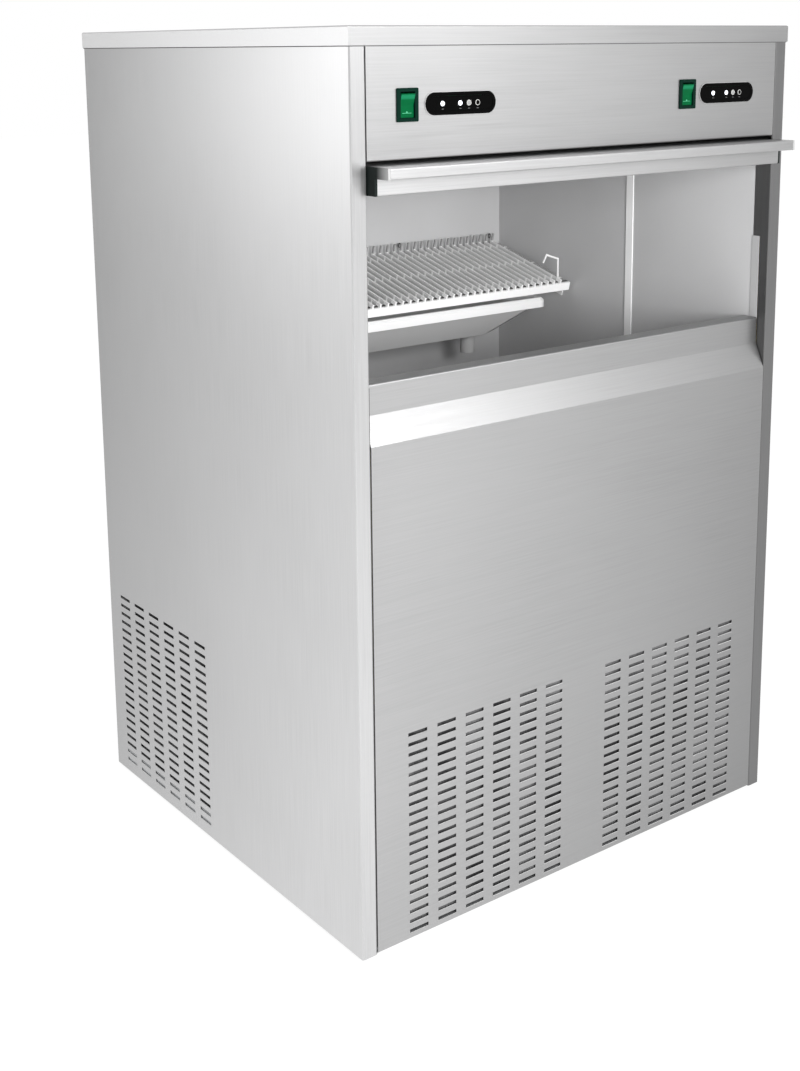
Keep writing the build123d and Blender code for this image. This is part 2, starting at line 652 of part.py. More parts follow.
# End caps in the outline of the door, each with the hole for its pivot
pivot_y = y_at(DOOR_PIVOT_OPEN)
for side, sign in SIDES:
    with BuildPart() as end_cap:
        with BuildSketch(Plane.YZ.offset(sign * (DOOR_HALF_WIDTH - END_CAP))):
            with BuildLine():
                Polyline(
                    (door_rear, door_under),
                    (door_rear, DOOR_OPEN_TOP),
                    (lip_front, DOOR_OPEN_TOP),
                    (lip_front, lip_under),
                    (door_front, lip_under),
                    (door_front, door_under),
                    close=True,
                )
            make_face()
            with Locations((pivot_y, DOOR_PIVOT_Z)):
                Circle(PIVOT_RADIUS + RUNNING_FIT, mode=Mode.SUBTRACT)
        extrude(amount=sign * END_CAP)
    finish(end_cap, f"door_end_cap_{side}")

# Sliders: nylon shoes that carry the door's pivots along the guides
slider_inner = BIN_X + LINER
slider_outer = slider_inner + SLIDER_THICKNESS
for side, sign in SIDES:
    with BuildPart() as door_slider:
        block(
            (sign * slider_inner, sign * slider_outer),
            (pivot_y - SLIDER_LENGTH / 2, pivot_y + SLIDER_LENGTH / 2),
            (DOOR_PIVOT_Z - SLIDER_HEIGHT / 2, DOOR_PIVOT_Z + SLIDER_HEIGHT / 2),
        )
        with BuildSketch(Plane.YZ.offset(sign * slider_inner)):
            with Locations((pivot_y, DOOR_PIVOT_Z)):
                Circle(PIVOT_RADIUS)
        extrude(amount=-sign * (slider_inner - DOOR_HALF_WIDTH + END_CAP))
    finish(door_slider, f"door_slider_{side}")

# Guides: channels on the side walls above the bin, open towards the door
GUIDE_END_SPACE = 5.0
guide_front = y_at(DOOR_PIVOT_INSET - SLIDER_LENGTH / 2 - FIT)
guide_rear = y_at(DOOR_PIVOT_OPEN + SLIDER_LENGTH / 2 + GUIDE_END_SPACE)
for side, sign in SIDES:
    with BuildPart() as door_guide:
        channel_half = SLIDER_HEIGHT / 2 + FIT
        channel_back = slider_outer + FIT
        guide_z = (
            DOOR_PIVOT_Z - channel_half - GUIDE_WALL,
            DOOR_PIVOT_Z + channel_half + GUIDE_WALL,
        )
        block(
            (sign * slider_inner, sign * (CASE_INNER_X - FIT)),
            (guide_front, guide_rear),
            guide_z,
        )
        block(
            (sign * slider_inner, sign * channel_back),
            (guide_front, guide_rear - GUIDE_WALL),
            (DOOR_PIVOT_Z - channel_half, DOOR_PIVOT_Z + channel_half),
            mode=Mode.SUBTRACT,
        )
    finish(door_guide, f"door_guide_{side}")

# Bin liner: tub with a low front wall and side walls that step down under the door's guides,
# and a strainer of three slots over the drain pipe
STRAINER_SLOT = (3.0, 13.0)
STRAINER_PITCH = 5.0
liner_x = BIN_X + LINER
liner_top = CEILING_Z - FIT
mouth_y = y_at(BIN_MOUTH_FRONT)
bin_front = y_at(BIN_FRONT_WALL)
bin_back = y_at(BIN_BACK_WALL)
step_y = y_at(BIN_STEP)
drain_y = y_at(DRAIN_FROM_FRONT)
with BuildPart() as bin_liner:
    floor_z = BIN_FLOOR_Z - LINER
    block((-liner_x, liner_x), (mouth_y, bin_back + LINER), (floor_z, liner_top))
    block((-BIN_X, BIN_X), (bin_front, bin_back), (BIN_FLOOR_Z, liner_top), mode=Mode.SUBTRACT)
    block((-liner_x, liner_x), (mouth_y, bin_front - LINER), (floor_z, BIN_FRONT_TOP),
          mode=Mode.SUBTRACT)
    block((-BIN_X, BIN_X), (mouth_y, bin_front), (BIN_FRONT_TOP, liner_top), mode=Mode.SUBTRACT)
    block((-liner_x, liner_x), (mouth_y, step_y), (BIN_SIDE_TOP, liner_top), mode=Mode.SUBTRACT)
    with BuildSketch(Plane.XY.offset(floor_z)):
        with Locations((0, drain_y)):
            with GridLocations(STRAINER_PITCH, 1, 3, 1):
                Rectangle(*STRAINER_SLOT)
    extrude(amount=LINER, mode=Mode.SUBTRACT)
finish(bin_liner, "bin_liner")

# Insulation foamed round the liner
foam_x = CASE_INNER_X - FIT
foam_inner_x = liner_x + FIT
foam_floor = BIN_FLOOR_Z - LINER - FIT
foam_bottom = foam_floor - FOAM_FLOOR
foam_back = bin_back + LINER + FIT
with BuildPart() as bin_insulation:
    foam_front = y_at(FOAM_FRONT)
    block((-foam_x, foam_x), (foam_front, foam_back + FOAM_BACK), (foam_bottom, liner_top))
    liner_front = bin_front - LINER - FIT
    block((-foam_inner_x, foam_inner_x), (liner_front, foam_back), (foam_floor, liner_top),
          mode=Mode.SUBTRACT)
    front_top = LOWER_PANEL_TOP - PANEL_DOWN_TURN - 2 * SHEET
    block((-foam_x, foam_x), (foam_front, mouth_y), (front_top, liner_top), mode=Mode.SUBTRACT)
    block((-foam_inner_x, foam_inner_x), (mouth_y, liner_front), (front_top, liner_top),
          mode=Mode.SUBTRACT)
    block((-foam_x, foam_x), (foam_front, step_y), (BIN_SIDE_TOP, liner_top), mode=Mode.SUBTRACT)
    with Locations((0, drain_y, foam_floor)):
        Hole(DRAIN_RADIUS + FIT)
finish(bin_insulation, "bin_insulation")

# Deck that carries the bin over the cooling plant
DECK = 1.5
DECK_FLANGE = 20.0
deck_top = foam_bottom - FIT
with BuildPart() as compartment_deck:
    deck_front = FRONT + SHEET + 2 * FIT
    deck_back = foam_back + FOAM_BACK
    block((-foam_x, foam_x), (deck_front, deck_back), (deck_top - DECK, deck_top))
    for sign in (-1, 1):
        flange_x = (sign * (foam_x - DECK), sign * foam_x)
        flange_z = (deck_top - DECK_FLANGE, deck_top)
        block(flange_x, (deck_front + 4 * BEND, deck_back), flange_z)
        notch_x = (sign * (JAMB_X - FIT), sign * (foam_x + FIT))
        notch_y = (deck_front, FRONT + JAMB_RETURN + FIT)
        block(notch_x, notch_y, flange_z, mode=Mode.SUBTRACT)
    with Locations((0, drain_y, deck_top)):
        Hole(DRAIN_RADIUS + FIT)
finish(compartment_deck, "compartment_deck")

# Ceiling panel over the bin, with the passages for the cooling lines
LINE_HOLE = TUBE_RADIUS + 1.0
ceiling_top = CEILING_Z + CEILING_THICKNESS
line_y = y_at(FINGERS_FROM_FRONT)
with BuildPart() as bin_ceiling:
    ceiling_front = FRONT + CONTROL_RETURN + 2 * FIT
    ceiling_back = foam_back + FOAM_BACK
    block((-foam_x, foam_x), (ceiling_front, ceiling_back), (CEILING_Z, ceiling_top))
    for sign in (-1, 1):
        with Locations((sign * UNIT_X, line_y, ceiling_top)):
            Hole(LINE_HOLE)
finish(bin_ceiling, "bin_ceiling")

# Light strips on both side walls of the bin
with BuildPart() as liner_trim_strips:
    for sign in (-1, 1):
        strip_y = (y_at(TRIM_STRIP_FROM_FRONT - TRIM_STRIP_WIDTH / 2),
                   y_at(TRIM_STRIP_FROM_FRONT + TRIM_STRIP_WIDTH / 2))
        block((sign * (BIN_X - LINER), sign * BIN_X), strip_y, (TRIM_STRIP_BOTTOM, liner_top))
finish(liner_trim_strips, "liner_trim_strips")

# Ice slide: comb of bars on cross ribs, with a toothed front rail and an upstand at the back
slope = radians(SLIDE_ANGLE)
slide_plane = Plane(
    origin=(0, y_at(SLIDE_FRONT), SLIDE_FRONT_Z),
    x_dir=(1, 0, 0),
    z_dir=(0, -sin(slope), cos(slope)),
)
RIB_PLACES = (0.12 * SLIDE_LENGTH, 0.5 * SLIDE_LENGTH, 0.9 * SLIDE_LENGTH)
bar_profile_plane = Plane(
    origin=slide_plane.origin,
    x_dir=slide_plane.y_dir,
    z_dir=(1, 0, 0),
)
with BuildPart() as ice_slide:
    with BuildSketch(bar_profile_plane):
        with BuildLine():
            Polyline(
                (0, 0),
                (SLIDE_LENGTH, 0),
                (SLIDE_LENGTH, SLIDE_TICK),
                (SLIDE_LENGTH - SLIDE_RIB, SLIDE_TICK),
                (SLIDE_LENGTH - SLIDE_RIB, SLIDE_BAR_HEIGHT),
                (0, SLIDE_BAR_HEIGHT),
                close=True,
            )
        make_face()
    bar = extrude(amount=SLIDE_BAR_WIDTH / 2, both=True, mode=Mode.PRIVATE)
    with GridLocations(SLIDE_BAR_PITCH, 1, SLIDE_BARS, 1):
        add(bar)
    with BuildSketch(slide_plane):
        for place in RIB_PLACES:
            with Locations((0, place)):
                Rectangle(2 * SLIDE_HALF_WIDTH, SLIDE_RIB)
    extrude(amount=-SLIDE_RIB)
    with BuildSketch(slide_plane):
        with Locations((0, SLIDE_RAIL / 2)):
            Rectangle(2 * SLIDE_HALF_WIDTH, SLIDE_RAIL)
        for sign in (-1, 1):
            with Locations((sign * (SLIDE_HALF_WIDTH - SLIDE_SIDE_RAIL / 2), SLIDE_LENGTH / 2)):
                Rectangle(SLIDE_SIDE_RAIL, SLIDE_LENGTH)
    extrude(amount=-SLIDE_RAIL_DROP)
finish(ice_slide, "ice_slide")

# Ledges on the side walls that carry the slide's side rails
LEDGE = 2.0
LEDGE_REACH = 12.0
LEDGE_LENGTH = 0.8 * SLIDE_LENGTH
LEDGE_DROP = 16.0
with BuildPart() as slide_brackets:
    with BuildSketch(slide_plane.offset(-SLIDE_RAIL_DROP - FIT)):
        for sign in (-1, 1):
            with Locations((sign * (BIN_X - FIT - LEDGE_REACH / 2), SLIDE_LENGTH / 2)):
                Rectangle(LEDGE_REACH, LEDGE_LENGTH)
    extrude(amount=-LEDGE)
    with BuildSketch(slide_plane.offset(-SLIDE_RAIL_DROP - FIT)):
        for sign in (-1, 1):
            with Locations((sign * (BIN_X - FIT - LEDGE / 2), SLIDE_LENGTH / 2)):
                Rectangle(LEDGE, LEDGE_LENGTH)
    extrude(amount=-LEDGE_DROP)
finish(slide_brackets, "slide_brackets")

# Water tub: tapered hopper with a rolled lip and a drain nozzle
NOZZLE_RADIUS = 11.0
NOZZLE_FROM_END = 17.0
NOZZLE_LENGTH = 36.0
NOZZLE_X = TUB_BOTTOM_HALF_WIDTH - NOZZLE_FROM_END
NOZZLE_BOTTOM = TUB_BOTTOM_Z - NOZZLE_LENGTH
tub_y = (y_at(TUB_FRONT), y_at(TUB_BACK))
tub_middle = sum(tub_y) / 2
tub_depth = tub_y[1] - tub_y[0]


def tub_shape(inset, bottom, top):
    """Tapered body of the tub with its corners cut off, drawn in by the inset on every side."""
    top_x = TUB_TOP_HALF_WIDTH - inset
    bottom_x = TUB_BOTTOM_HALF_WIDTH - inset
    front_y, back_y = tub_y[0] + inset, tub_y[1] - inset
    with BuildPart() as body:
        with BuildSketch(Plane.XZ.offset(-front_y)):
            with BuildLine():
                Polyline((-top_x, top), (top_x, top), (bottom_x, bottom), (-bottom_x, bottom),
                         close=True)
            make_face()
        extrude(amount=front_y - back_y)
        with BuildSketch(Plane.YZ):
            with BuildLine():
                Polyline((front_y, top), (back_y, top), (back_y - TUB_TAPER_DEPTH, bottom),
                         (front_y + TUB_TAPER_DEPTH, bottom), close=True)
            make_face()
        extrude(amount=top_x, both=True, mode=Mode.INTERSECT)
        chamfer(body.edges().group_by(Axis.Z)[1], length=TUB_CORNER - inset)
    return body.part


with BuildPart() as water_tub:
    add(tub_shape(0, TUB_BOTTOM_Z, TUB_TOP_Z - TUB_LIP_HEIGHT))
    with BuildSketch(Plane.XY.offset(NOZZLE_BOTTOM)):
        with Locations((NOZZLE_X, tub_middle)):
            Circle(NOZZLE_RADIUS)
    extrude(amount=TUB_BOTTOM_Z + TUB_WALL / 2 - NOZZLE_BOTTOM)
    with BuildSketch(Plane.XY.offset(TUB_TOP_Z - TUB_LIP_HEIGHT)):
        with Locations((0, tub_middle)):
            lip_size = (2 * (TUB_TOP_HALF_WIDTH + TUB_LIP), tub_depth + 2 * TUB_LIP)
            RectangleRounded(*lip_size, TUB_CORNER)
    extrude(amount=TUB_LIP_HEIGHT)
    chamfer(water_tub.edges().group_by(Axis.Z)[-1], length=0.3 * TUB_LIP_HEIGHT)
    add(tub_shape(TUB_WALL, TUB_BOTTOM_Z + TUB_WALL, TUB_TOP_Z - TUB_LIP_HEIGHT), mode=Mode.SUBTRACT)
    with BuildSketch(Plane.XY.offset(TUB_TOP_Z - TUB_LIP_HEIGHT)) as mouth:
        with Locations((0, tub_middle)):
            Rectangle(2 * (TUB_TOP_HALF_WIDTH - TUB_WALL), tub_depth - 2 * TUB_WALL)
        chamfer(mouth.vertices(), length=TUB_CORNER - TUB_WALL)
    extrude(amount=TUB_LIP_HEIGHT, mode=Mode.SUBTRACT)
    with BuildSketch(Plane.XY.offset(NOZZLE_BOTTOM)):
        with Locations((NOZZLE_X, tub_middle)):
            Circle(NOZZLE_RADIUS - TUB_WALL)
    extrude(amount=TUB_BOTTOM_Z + 2 * TUB_WALL - NOZZLE_BOTTOM, mode=Mode.SUBTRACT)
finish(water_tub, "water_tub")

# Probe on the slide's front corner: a thin wire loop that feels when the bin is full
PROBE_RADIUS = 1.5
PROBE_FROM_END = 20.0
PROBE_SET_BACK = 6.0
PROBE_RISE = 28.0
PROBE_REACH = 18.0
PROBE_CROWN = 6.0
with BuildPart() as full_probe:
    probe_x = SLIDE_HALF_WIDTH - PROBE_FROM_END
    probe_y = y_at(SLIDE_FRONT) + PROBE_SET_BACK
    bar_top = SLIDE_FRONT_Z + SLIDE_BAR_HEIGHT / cos(slope) + PROBE_SET_BACK * tan(slope)
    probe_z = bar_top + PROBE_RADIUS * tan(slope) + FIT
    probe_route = [
        (probe_x, probe_y, probe_z),
        (probe_x, probe_y, probe_z + PROBE_RISE),
        (probe_x - 0.8 * PROBE_REACH, probe_y + 0.5 * PROBE_REACH, probe_z + PROBE_RISE + PROBE_CROWN),
        (probe_x - PROBE_REACH, probe_y + 0.7 * PROBE_REACH, probe_z + PROBE_RISE - PROBE_CROWN),
    ]
    add(tube(probe_route, PROBE_RADIUS))
finish(full_probe, "full_probe")

# Freezing units: plate with fingers that dip in the tray, hung from the ceiling by two studs
PLATE_CORNER = 6.0
STUD_FROM_END = 15.0
STUD_LENGTH_SHARE = 0.6
finger_y = y_at(FINGERS_FROM_FRONT)
evaporator_top = EVAPORATOR_BOTTOM + EVAPORATOR_PLATE
for side, sign in SIDES:
    unit_x = sign * UNIT_X
    with BuildPart() as evaporator:
        plate_width = FINGER_COLUMNS * FINGER_PITCH_X
        plate_depth = FINGER_ROWS * FINGER_PITCH_Y
        with BuildSketch(Plane.XY.offset(EVAPORATOR_BOTTOM)):
            with Locations((unit_x, finger_y)):
                RectangleRounded(plate_width, plate_depth, PLATE_CORNER)
        extrude(amount=EVAPORATOR_PLATE)
        with BuildSketch(Plane.XY.offset(EVAPORATOR_BOTTOM)):
            with Locations((unit_x, finger_y)):
                with GridLocations(FINGER_PITCH_X, FINGER_PITCH_Y, FINGER_COLUMNS, FINGER_ROWS):
                    RegularPolygon(FINGER_RADIUS, TUBE_FLATS)
        extrude(amount=-FINGER_LENGTH)
        with BuildSketch(Plane.XY.offset(evaporator_top)):
            with Locations((unit_x, finger_y)):
                with GridLocations(plate_width - 2 * STUD_FROM_END, 1, 2, 1):
                    Rectangle(2 * TUBE_RADIUS, STUD_LENGTH_SHARE * plate_depth)
        extrude(amount=CEILING_Z - evaporator_top)
    finish(evaporator, f"evaporator_{side}")

# Tilting water trays: open boxes with an axle at the back edge, carried in two ears
HANGER_GAP = 3.0
AXLE_END = 6.0
EAR_FROM_END = 20.0
EAR = 8.0
EAR_HEIGHT = 10.0
axle_y = y_at(TRAY_BACK) - 3 * TRAY_AXLE_RADIUS / 2
hanger_inner = TRAY_HALF_WIDTH + HANGER_GAP
for side, sign in SIDES:
    unit_x = sign * UNIT_X
    with BuildPart() as water_tray:
        tray_x = (unit_x - TRAY_HALF_WIDTH, unit_x + TRAY_HALF_WIDTH)
        tray_y = (y_at(TRAY_FRONT), y_at(TRAY_BACK) - 4 * TRAY_AXLE_RADIUS)
        block(tray_x, tray_y, (TRAY_BOTTOM, TRAY_TOP))
        chamfer(water_tray.edges().group_by(Axis.Z)[0], length=TRAY_WALL)
        block(
            (tray_x[0] + TRAY_WALL, tray_x[1] - TRAY_WALL),
            (tray_y[0] + TRAY_WALL, tray_y[1] - TRAY_WALL),
            (TRAY_BOTTOM + TRAY_WALL, TRAY_TOP),
            mode=Mode.SUBTRACT,
        )
        ear_z = (TRAY_AXLE_Z - EAR_HEIGHT / 2, TRAY_AXLE_Z + EAR_HEIGHT / 2)
        for ear_x in (tray_x[0] + EAR_FROM_END, tray_x[1] - EAR_FROM_END):
            block((ear_x - EAR / 2, ear_x + EAR / 2), (tray_y[1], axle_y), ear_z)
        axle_reach = hanger_inner + HANGER + AXLE_END
        with BuildSketch(Plane.YZ.offset(unit_x)):
            with Locations((axle_y, TRAY_AXLE_Z)):
                Circle(TRAY_AXLE_RADIUS)
        extrude(amount=axle_reach, both=True)
    finish(water_tray, f"water_tray_{side}")

# Hangers that carry the axles under the ceiling, and the gear motor that turns each one
HANGER_MARGIN = 10.0
HANGER_FORWARD = 30.0
with BuildPart() as tray_hangers:
    for side, sign in SIDES:
        for end in (-1, 1):
            hanger_x = sign * UNIT_X + end * hanger_inner
            with BuildSketch(Plane.YZ.offset(hanger_x)):
                with BuildLine():
                    Polyline(
                        (axle_y - HANGER_MARGIN, TRAY_AXLE_Z - HANGER_MARGIN),
                        (axle_y + HANGER_MARGIN, TRAY_AXLE_Z - HANGER_MARGIN),
                        (axle_y + HANGER_MARGIN, CEILING_Z),
                        (axle_y - HANGER_FORWARD, CEILING_Z),
                        close=True,
                    )
                make_face()
                with Locations((axle_y, TRAY_AXLE_Z)):
                    Circle(TRAY_AXLE_RADIUS + RUNNING_FIT, mode=Mode.SUBTRACT)
            extrude(amount=end * HANGER)
finish(tray_hangers, "tray_hangers")

GEARBOX_THICKNESS = 12.0
GEARBOX_WIDTH = 38.0
GEARBOX_HEIGHT = 56.0
GEARBOX_CORNER = 6.0
GEARBOX_ABOVE_AXLE = 14.0
GEARBOX_STRAP = 3.0
GEARBOX_STRAP_WIDTH = 20.0
for side, sign in SIDES:
    motor_inner = sign * (UNIT_X + hanger_inner + HANGER + FIT)
    with BuildPart() as tray_motor:
        with BuildSketch(Plane.YZ.offset(motor_inner)):
            with Locations((axle_y, TRAY_AXLE_Z + GEARBOX_ABOVE_AXLE)):
                RectangleRounded(GEARBOX_WIDTH, GEARBOX_HEIGHT, GEARBOX_CORNER)
            with Locations((axle_y, TRAY_AXLE_Z)):
                Circle(TRAY_AXLE_RADIUS + RUNNING_FIT, mode=Mode.SUBTRACT)
        extrude(amount=sign * GEARBOX_THICKNESS)
        strap_x = (motor_inner, motor_inner + sign * GEARBOX_STRAP)
        strap_y = (axle_y - GEARBOX_STRAP_WIDTH / 2, axle_y + GEARBOX_STRAP_WIDTH / 2)
        strap_z = (TRAY_AXLE_Z + GEARBOX_ABOVE_AXLE + GEARBOX_HEIGHT / 2, CEILING_Z)
        block(strap_x, strap_y, strap_z)
    finish(tray_motor, f"tray_motor_{side}")

# Pump standing in the tub, and the hose from it to a spout over each tray
PUMP_FROM_END = 55.0
PUMP_RADIUS = 24.0
PUMP_HEIGHT = 30.0
PUMP_EDGE = 5.0
OUTLET_BEHIND = 30.0
OUTLET = 20.0
OUTLET_CORNER = 3.0
OUTLET_HEIGHT = 22.0
PUMP_X = PUMP_FROM_END - TUB_BOTTOM_HALF_WIDTH
pump_floor = TUB_BOTTOM_Z + TUB_WALL + FIT
HOSE_RADIUS = 4.0
with BuildPart() as water_pump:
    with BuildSketch(Plane.XY.offset(pump_floor)):
        with Locations((PUMP_X, tub_middle)):
            RegularPolygon(PUMP_RADIUS, 2 * TUBE_FLATS)
    extrude(amount=PUMP_HEIGHT)
    chamfer(water_pump.edges().group_by(Axis.Z)[-1], length=PUMP_EDGE)
    with BuildSketch(Plane.XY.offset(pump_floor)):
        with Locations((PUMP_X, tub_middle + OUTLET_BEHIND)):
            RectangleRounded(OUTLET, OUTLET, OUTLET_CORNER)
    extrude(amount=OUTLET_HEIGHT)
finish(water_pump, "water_pump")

SPOUT_ABOVE_TRAY = 18.0
SPOUT_OVER_TRAY = 24.0
SPOUT_OFF_MIDDLE = 20.0
HOSE_ABOVE_TUB = 10.0
HOSE_SLOPE = 18.0
HOSE_BEND = 6.0
with BuildPart() as water_hose:
    spout_z = TRAY_TOP + SPOUT_ABOVE_TRAY
    hose_y = tub_middle + OUTLET_BEHIND
    across_y = bin_back - HOSE_RADIUS - FIT
    low_z = TUB_TOP_Z + HOSE_ABOVE_TUB
    rise = [
        (PUMP_X, hose_y, pump_floor + OUTLET_HEIGHT),
        (PUMP_X, hose_y, low_z),
        (PUMP_X, across_y, low_z + HOSE_SLOPE),
        (PUMP_X, across_y, spout_z),
    ]
    add(tube(softened(rise, HOSE_BEND), HOSE_RADIUS))
    outlet_y = y_at(TRAY_BACK) - SPOUT_OVER_TRAY
    spout_x = UNIT_X + SPOUT_OFF_MIDDLE
    across = [
        (-spout_x, outlet_y, spout_z),
        (-spout_x, across_y, spout_z),
        (spout_x, across_y, spout_z),
        (spout_x, outlet_y, spout_z),
    ]
    add(tube(softened(across, HOSE_BEND), HOSE_RADIUS))
finish(water_hose, "water_hose")

# Compressors: welded shell on a foot plate with rubber mounts
pan_top = PAN_Z + PAN_SHEET
compressor_y = y_at(COMPRESSOR_FROM_FRONT)
SHELL_FLATS = 24
CROWN_HEIGHT = 0.3 * COMPRESSOR_RADIUS
CROWN_SLOPE = 59.0
FOOT_PLATE = 3.0
FOOT_PLATE_SIZE = (170.0, 120.0)
FOOT_PLATE_CORNER = 12.0
MOUNT_HEIGHT = 14.0
MOUNT = 18.0
MOUNT_SPACING = (140.0, 90.0)
for side, sign in SIDES:
    centre_x = sign * UNIT_X
    plate_z = pan_top + MOUNT_HEIGHT
    with BuildPart() as compressor:
        with BuildSketch(Plane.XY.offset(plate_z)):
            with Locations((centre_x, compressor_y)):
                RegularPolygon(COMPRESSOR_RADIUS, SHELL_FLATS)
        extrude(amount=COMPRESSOR_HEIGHT - CROWN_HEIGHT)
        with BuildSketch(Plane.XY.offset(plate_z + COMPRESSOR_HEIGHT - CROWN_HEIGHT)):
            with Locations((centre_x, compressor_y)):
                RegularPolygon(COMPRESSOR_RADIUS, SHELL_FLATS)
        extrude(amount=CROWN_HEIGHT, taper=CROWN_SLOPE)
        with BuildSketch(Plane.XY.offset(plate_z)):
            with Locations((centre_x, compressor_y)):
                RectangleRounded(*FOOT_PLATE_SIZE, FOOT_PLATE_CORNER)
        extrude(amount=FOOT_PLATE)
        with BuildSketch(Plane.XY.offset(pan_top)):
            with Locations((centre_x, compressor_y)):
                with GridLocations(*MOUNT_SPACING, 2, 2):
                    Rectangle(MOUNT, MOUNT)
        extrude(amount=MOUNT_HEIGHT)
    finish(compressor, f"compressor_{side}")

# Condensers behind the front grilles: finned block with return bends at both ends
condenser_y = (y_at(CONDENSER_FROM_FRONT), y_at(CONDENSER_FROM_FRONT + CONDENSER_THICKNESS))
condenser_mid_y = sum(condenser_y) / 2
condenser_z = (pan_top, pan_top + CONDENSER_HEIGHT)
CONDENSER_TUBES = 4
FIN_GROOVE = 6.0
GROOVE_SHARE = 0.6
RETURN_BEND = 14.0
for side, sign in SIDES:
    centre_x = sign * FRONT_GRILLE_X
    half = CONDENSER_WIDTH / 2
    fin_pitch = CONDENSER_WIDTH / CONDENSER_FINS
    tube_pitch = CONDENSER_HEIGHT / CONDENSER_TUBES
    with BuildPart() as condenser:
        block((centre_x - half, centre_x + half), condenser_y, condenser_z)
        with Locations((centre_x, condenser_y[0] + FIN_GROOVE / 2, sum(condenser_z) / 2)):
            with GridLocations(fin_pitch, 1, CONDENSER_FINS - 1, 1):
                Box(GROOVE_SHARE * fin_pitch, FIN_GROOVE, CONDENSER_HEIGHT, mode=Mode.SUBTRACT)
        for bend_index in range(CONDENSER_TUBES - 1):
            end = 1 if bend_index % 2 == 0 else -1
            low_z = condenser_z[0] + tube_pitch * (bend_index + 0.5)
            edge_x = centre_x + end * half
            bend_x = edge_x + end * RETURN_BEND
            bend_route = [
                (edge_x, condenser_mid_y, low_z),
                (bend_x, condenser_mid_y, low_z),
                (bend_x, condenser_mid_y, low_z + tube_pitch),
                (edge_x, condenser_mid_y, low_z + tube_pitch),
            ]
            add(tube(bend_route))
    finish(condenser, f"condenser_{side}")

# Fans: shroud with a round collar, motor on a strap across it, and bladed rotor
SHROUD = 1.5
COLLAR = 26.0
HUB_RADIUS = 20.0
HUB_LENGTH = 24.0
HUB_FLATS = 12
SHAFT_RADIUS = 4.0
MOTOR_RADIUS = 30.0
MOTOR_LENGTH = 40.0
MOTOR_BEHIND_HUB = 12.0
BLADE_PITCH = 30.0
BLADE = 1.6
STRAP = 2.0
STRAP_WIDTH = 24.0
STRAP_LAND = 8.0
COLLAR_GAP = 6.0
COLLAR_FLATS = 24
shroud_front = condenser_y[1] + FIT
fan_y = y_at(FAN_FROM_FRONT)
motor_front = fan_y + HUB_LENGTH / 2 + MOTOR_BEHIND_HUB
for side, sign in SIDES:
    centre_x = sign * FRONT_GRILLE_X
    fan_axis = Plane(origin=(centre_x, 0, FAN_Z), x_dir=(1, 0, 0), z_dir=(0, -1, 0))
    opening = FAN_RADIUS + COLLAR_GAP
    with BuildPart() as fan_shroud:
        with BuildSketch(fan_axis.offset(-shroud_front)):
            with Locations((0, sum(condenser_z) / 2 - FAN_Z)):
                Rectangle(CONDENSER_WIDTH, CONDENSER_HEIGHT)
            RegularPolygon(opening, COLLAR_FLATS, major_radius=False, mode=Mode.SUBTRACT)
        extrude(amount=-SHROUD)
        with BuildSketch(fan_axis.offset(-shroud_front)):
            RegularPolygon(opening + SHROUD, COLLAR_FLATS, major_radius=False)
            RegularPolygon(opening, COLLAR_FLATS, major_radius=False, mode=Mode.SUBTRACT)
        extrude(amount=-COLLAR)
    finish(fan_shroud, f"fan_shroud_{side}")

    with BuildPart() as fan_motor:
        with BuildSketch(fan_axis.offset(-motor_front)):
            RegularPolygon(MOTOR_RADIUS, HUB_FLATS)
        extrude(amount=-MOTOR_LENGTH)
        strap_half = opening + STRAP_LAND
        with BuildSketch(fan_axis.offset(-motor_front)):
            Rectangle(2 * strap_half, STRAP_WIDTH)
        extrude(amount=-STRAP)
        for end in (-1, 1):
            leg_x = (centre_x + end * strap_half, centre_x + end * (strap_half - STRAP))
            leg_y = (shroud_front + SHROUD, motor_front + STRAP)
            block(leg_x, leg_y, (FAN_Z - STRAP_WIDTH / 2, FAN_Z + STRAP_WIDTH / 2))
        with BuildSketch(fan_axis.offset(-motor_front)):
            Circle(SHAFT_RADIUS)
        extrude(amount=motor_front - fan_y)
    finish(fan_motor, f"fan_motor_{side}")

    with BuildPart() as fan:
        with BuildSketch(fan_axis.offset(-fan_y)):
            RegularPolygon(HUB_RADIUS, HUB_FLATS)
        extrude(amount=HUB_LENGTH / 2, both=True)
        for turn in range(FAN_BLADES):
            angle = 2 * pi * turn / FAN_BLADES
            along = Vector(cos(angle), 0, sin(angle))
            across = Vector(-sin(angle), 0, cos(angle))
            tilt = radians(BLADE_PITCH)
            face_normal = Vector(0, -1, 0) * cos(tilt) + across * sin(tilt)
            blade_plane = Plane(origin=(centre_x, fan_y, FAN_Z), x_dir=along, z_dir=face_normal)
            with BuildSketch(blade_plane):
                with BuildLine():
                    Polyline(
                        (HUB_RADIUS - 4, -10),
                        (0.78 * FAN_RADIUS, -26),
                        (0.93 * FAN_RADIUS, -6),
                        (0.88 * FAN_RADIUS, 30),
                        (HUB_RADIUS - 4, 10),
                        close=True,
                    )
                make_face()
            extrude(amount=BLADE / 2, both=True)
        with BuildSketch(fan_axis.offset(-fan_y)):
            Circle(SHAFT_RADIUS + RUNNING_FIT)
        extrude(amount=-HUB_LENGTH, both=True, mode=Mode.SUBTRACT)
    finish(fan, f"fan_{side}")

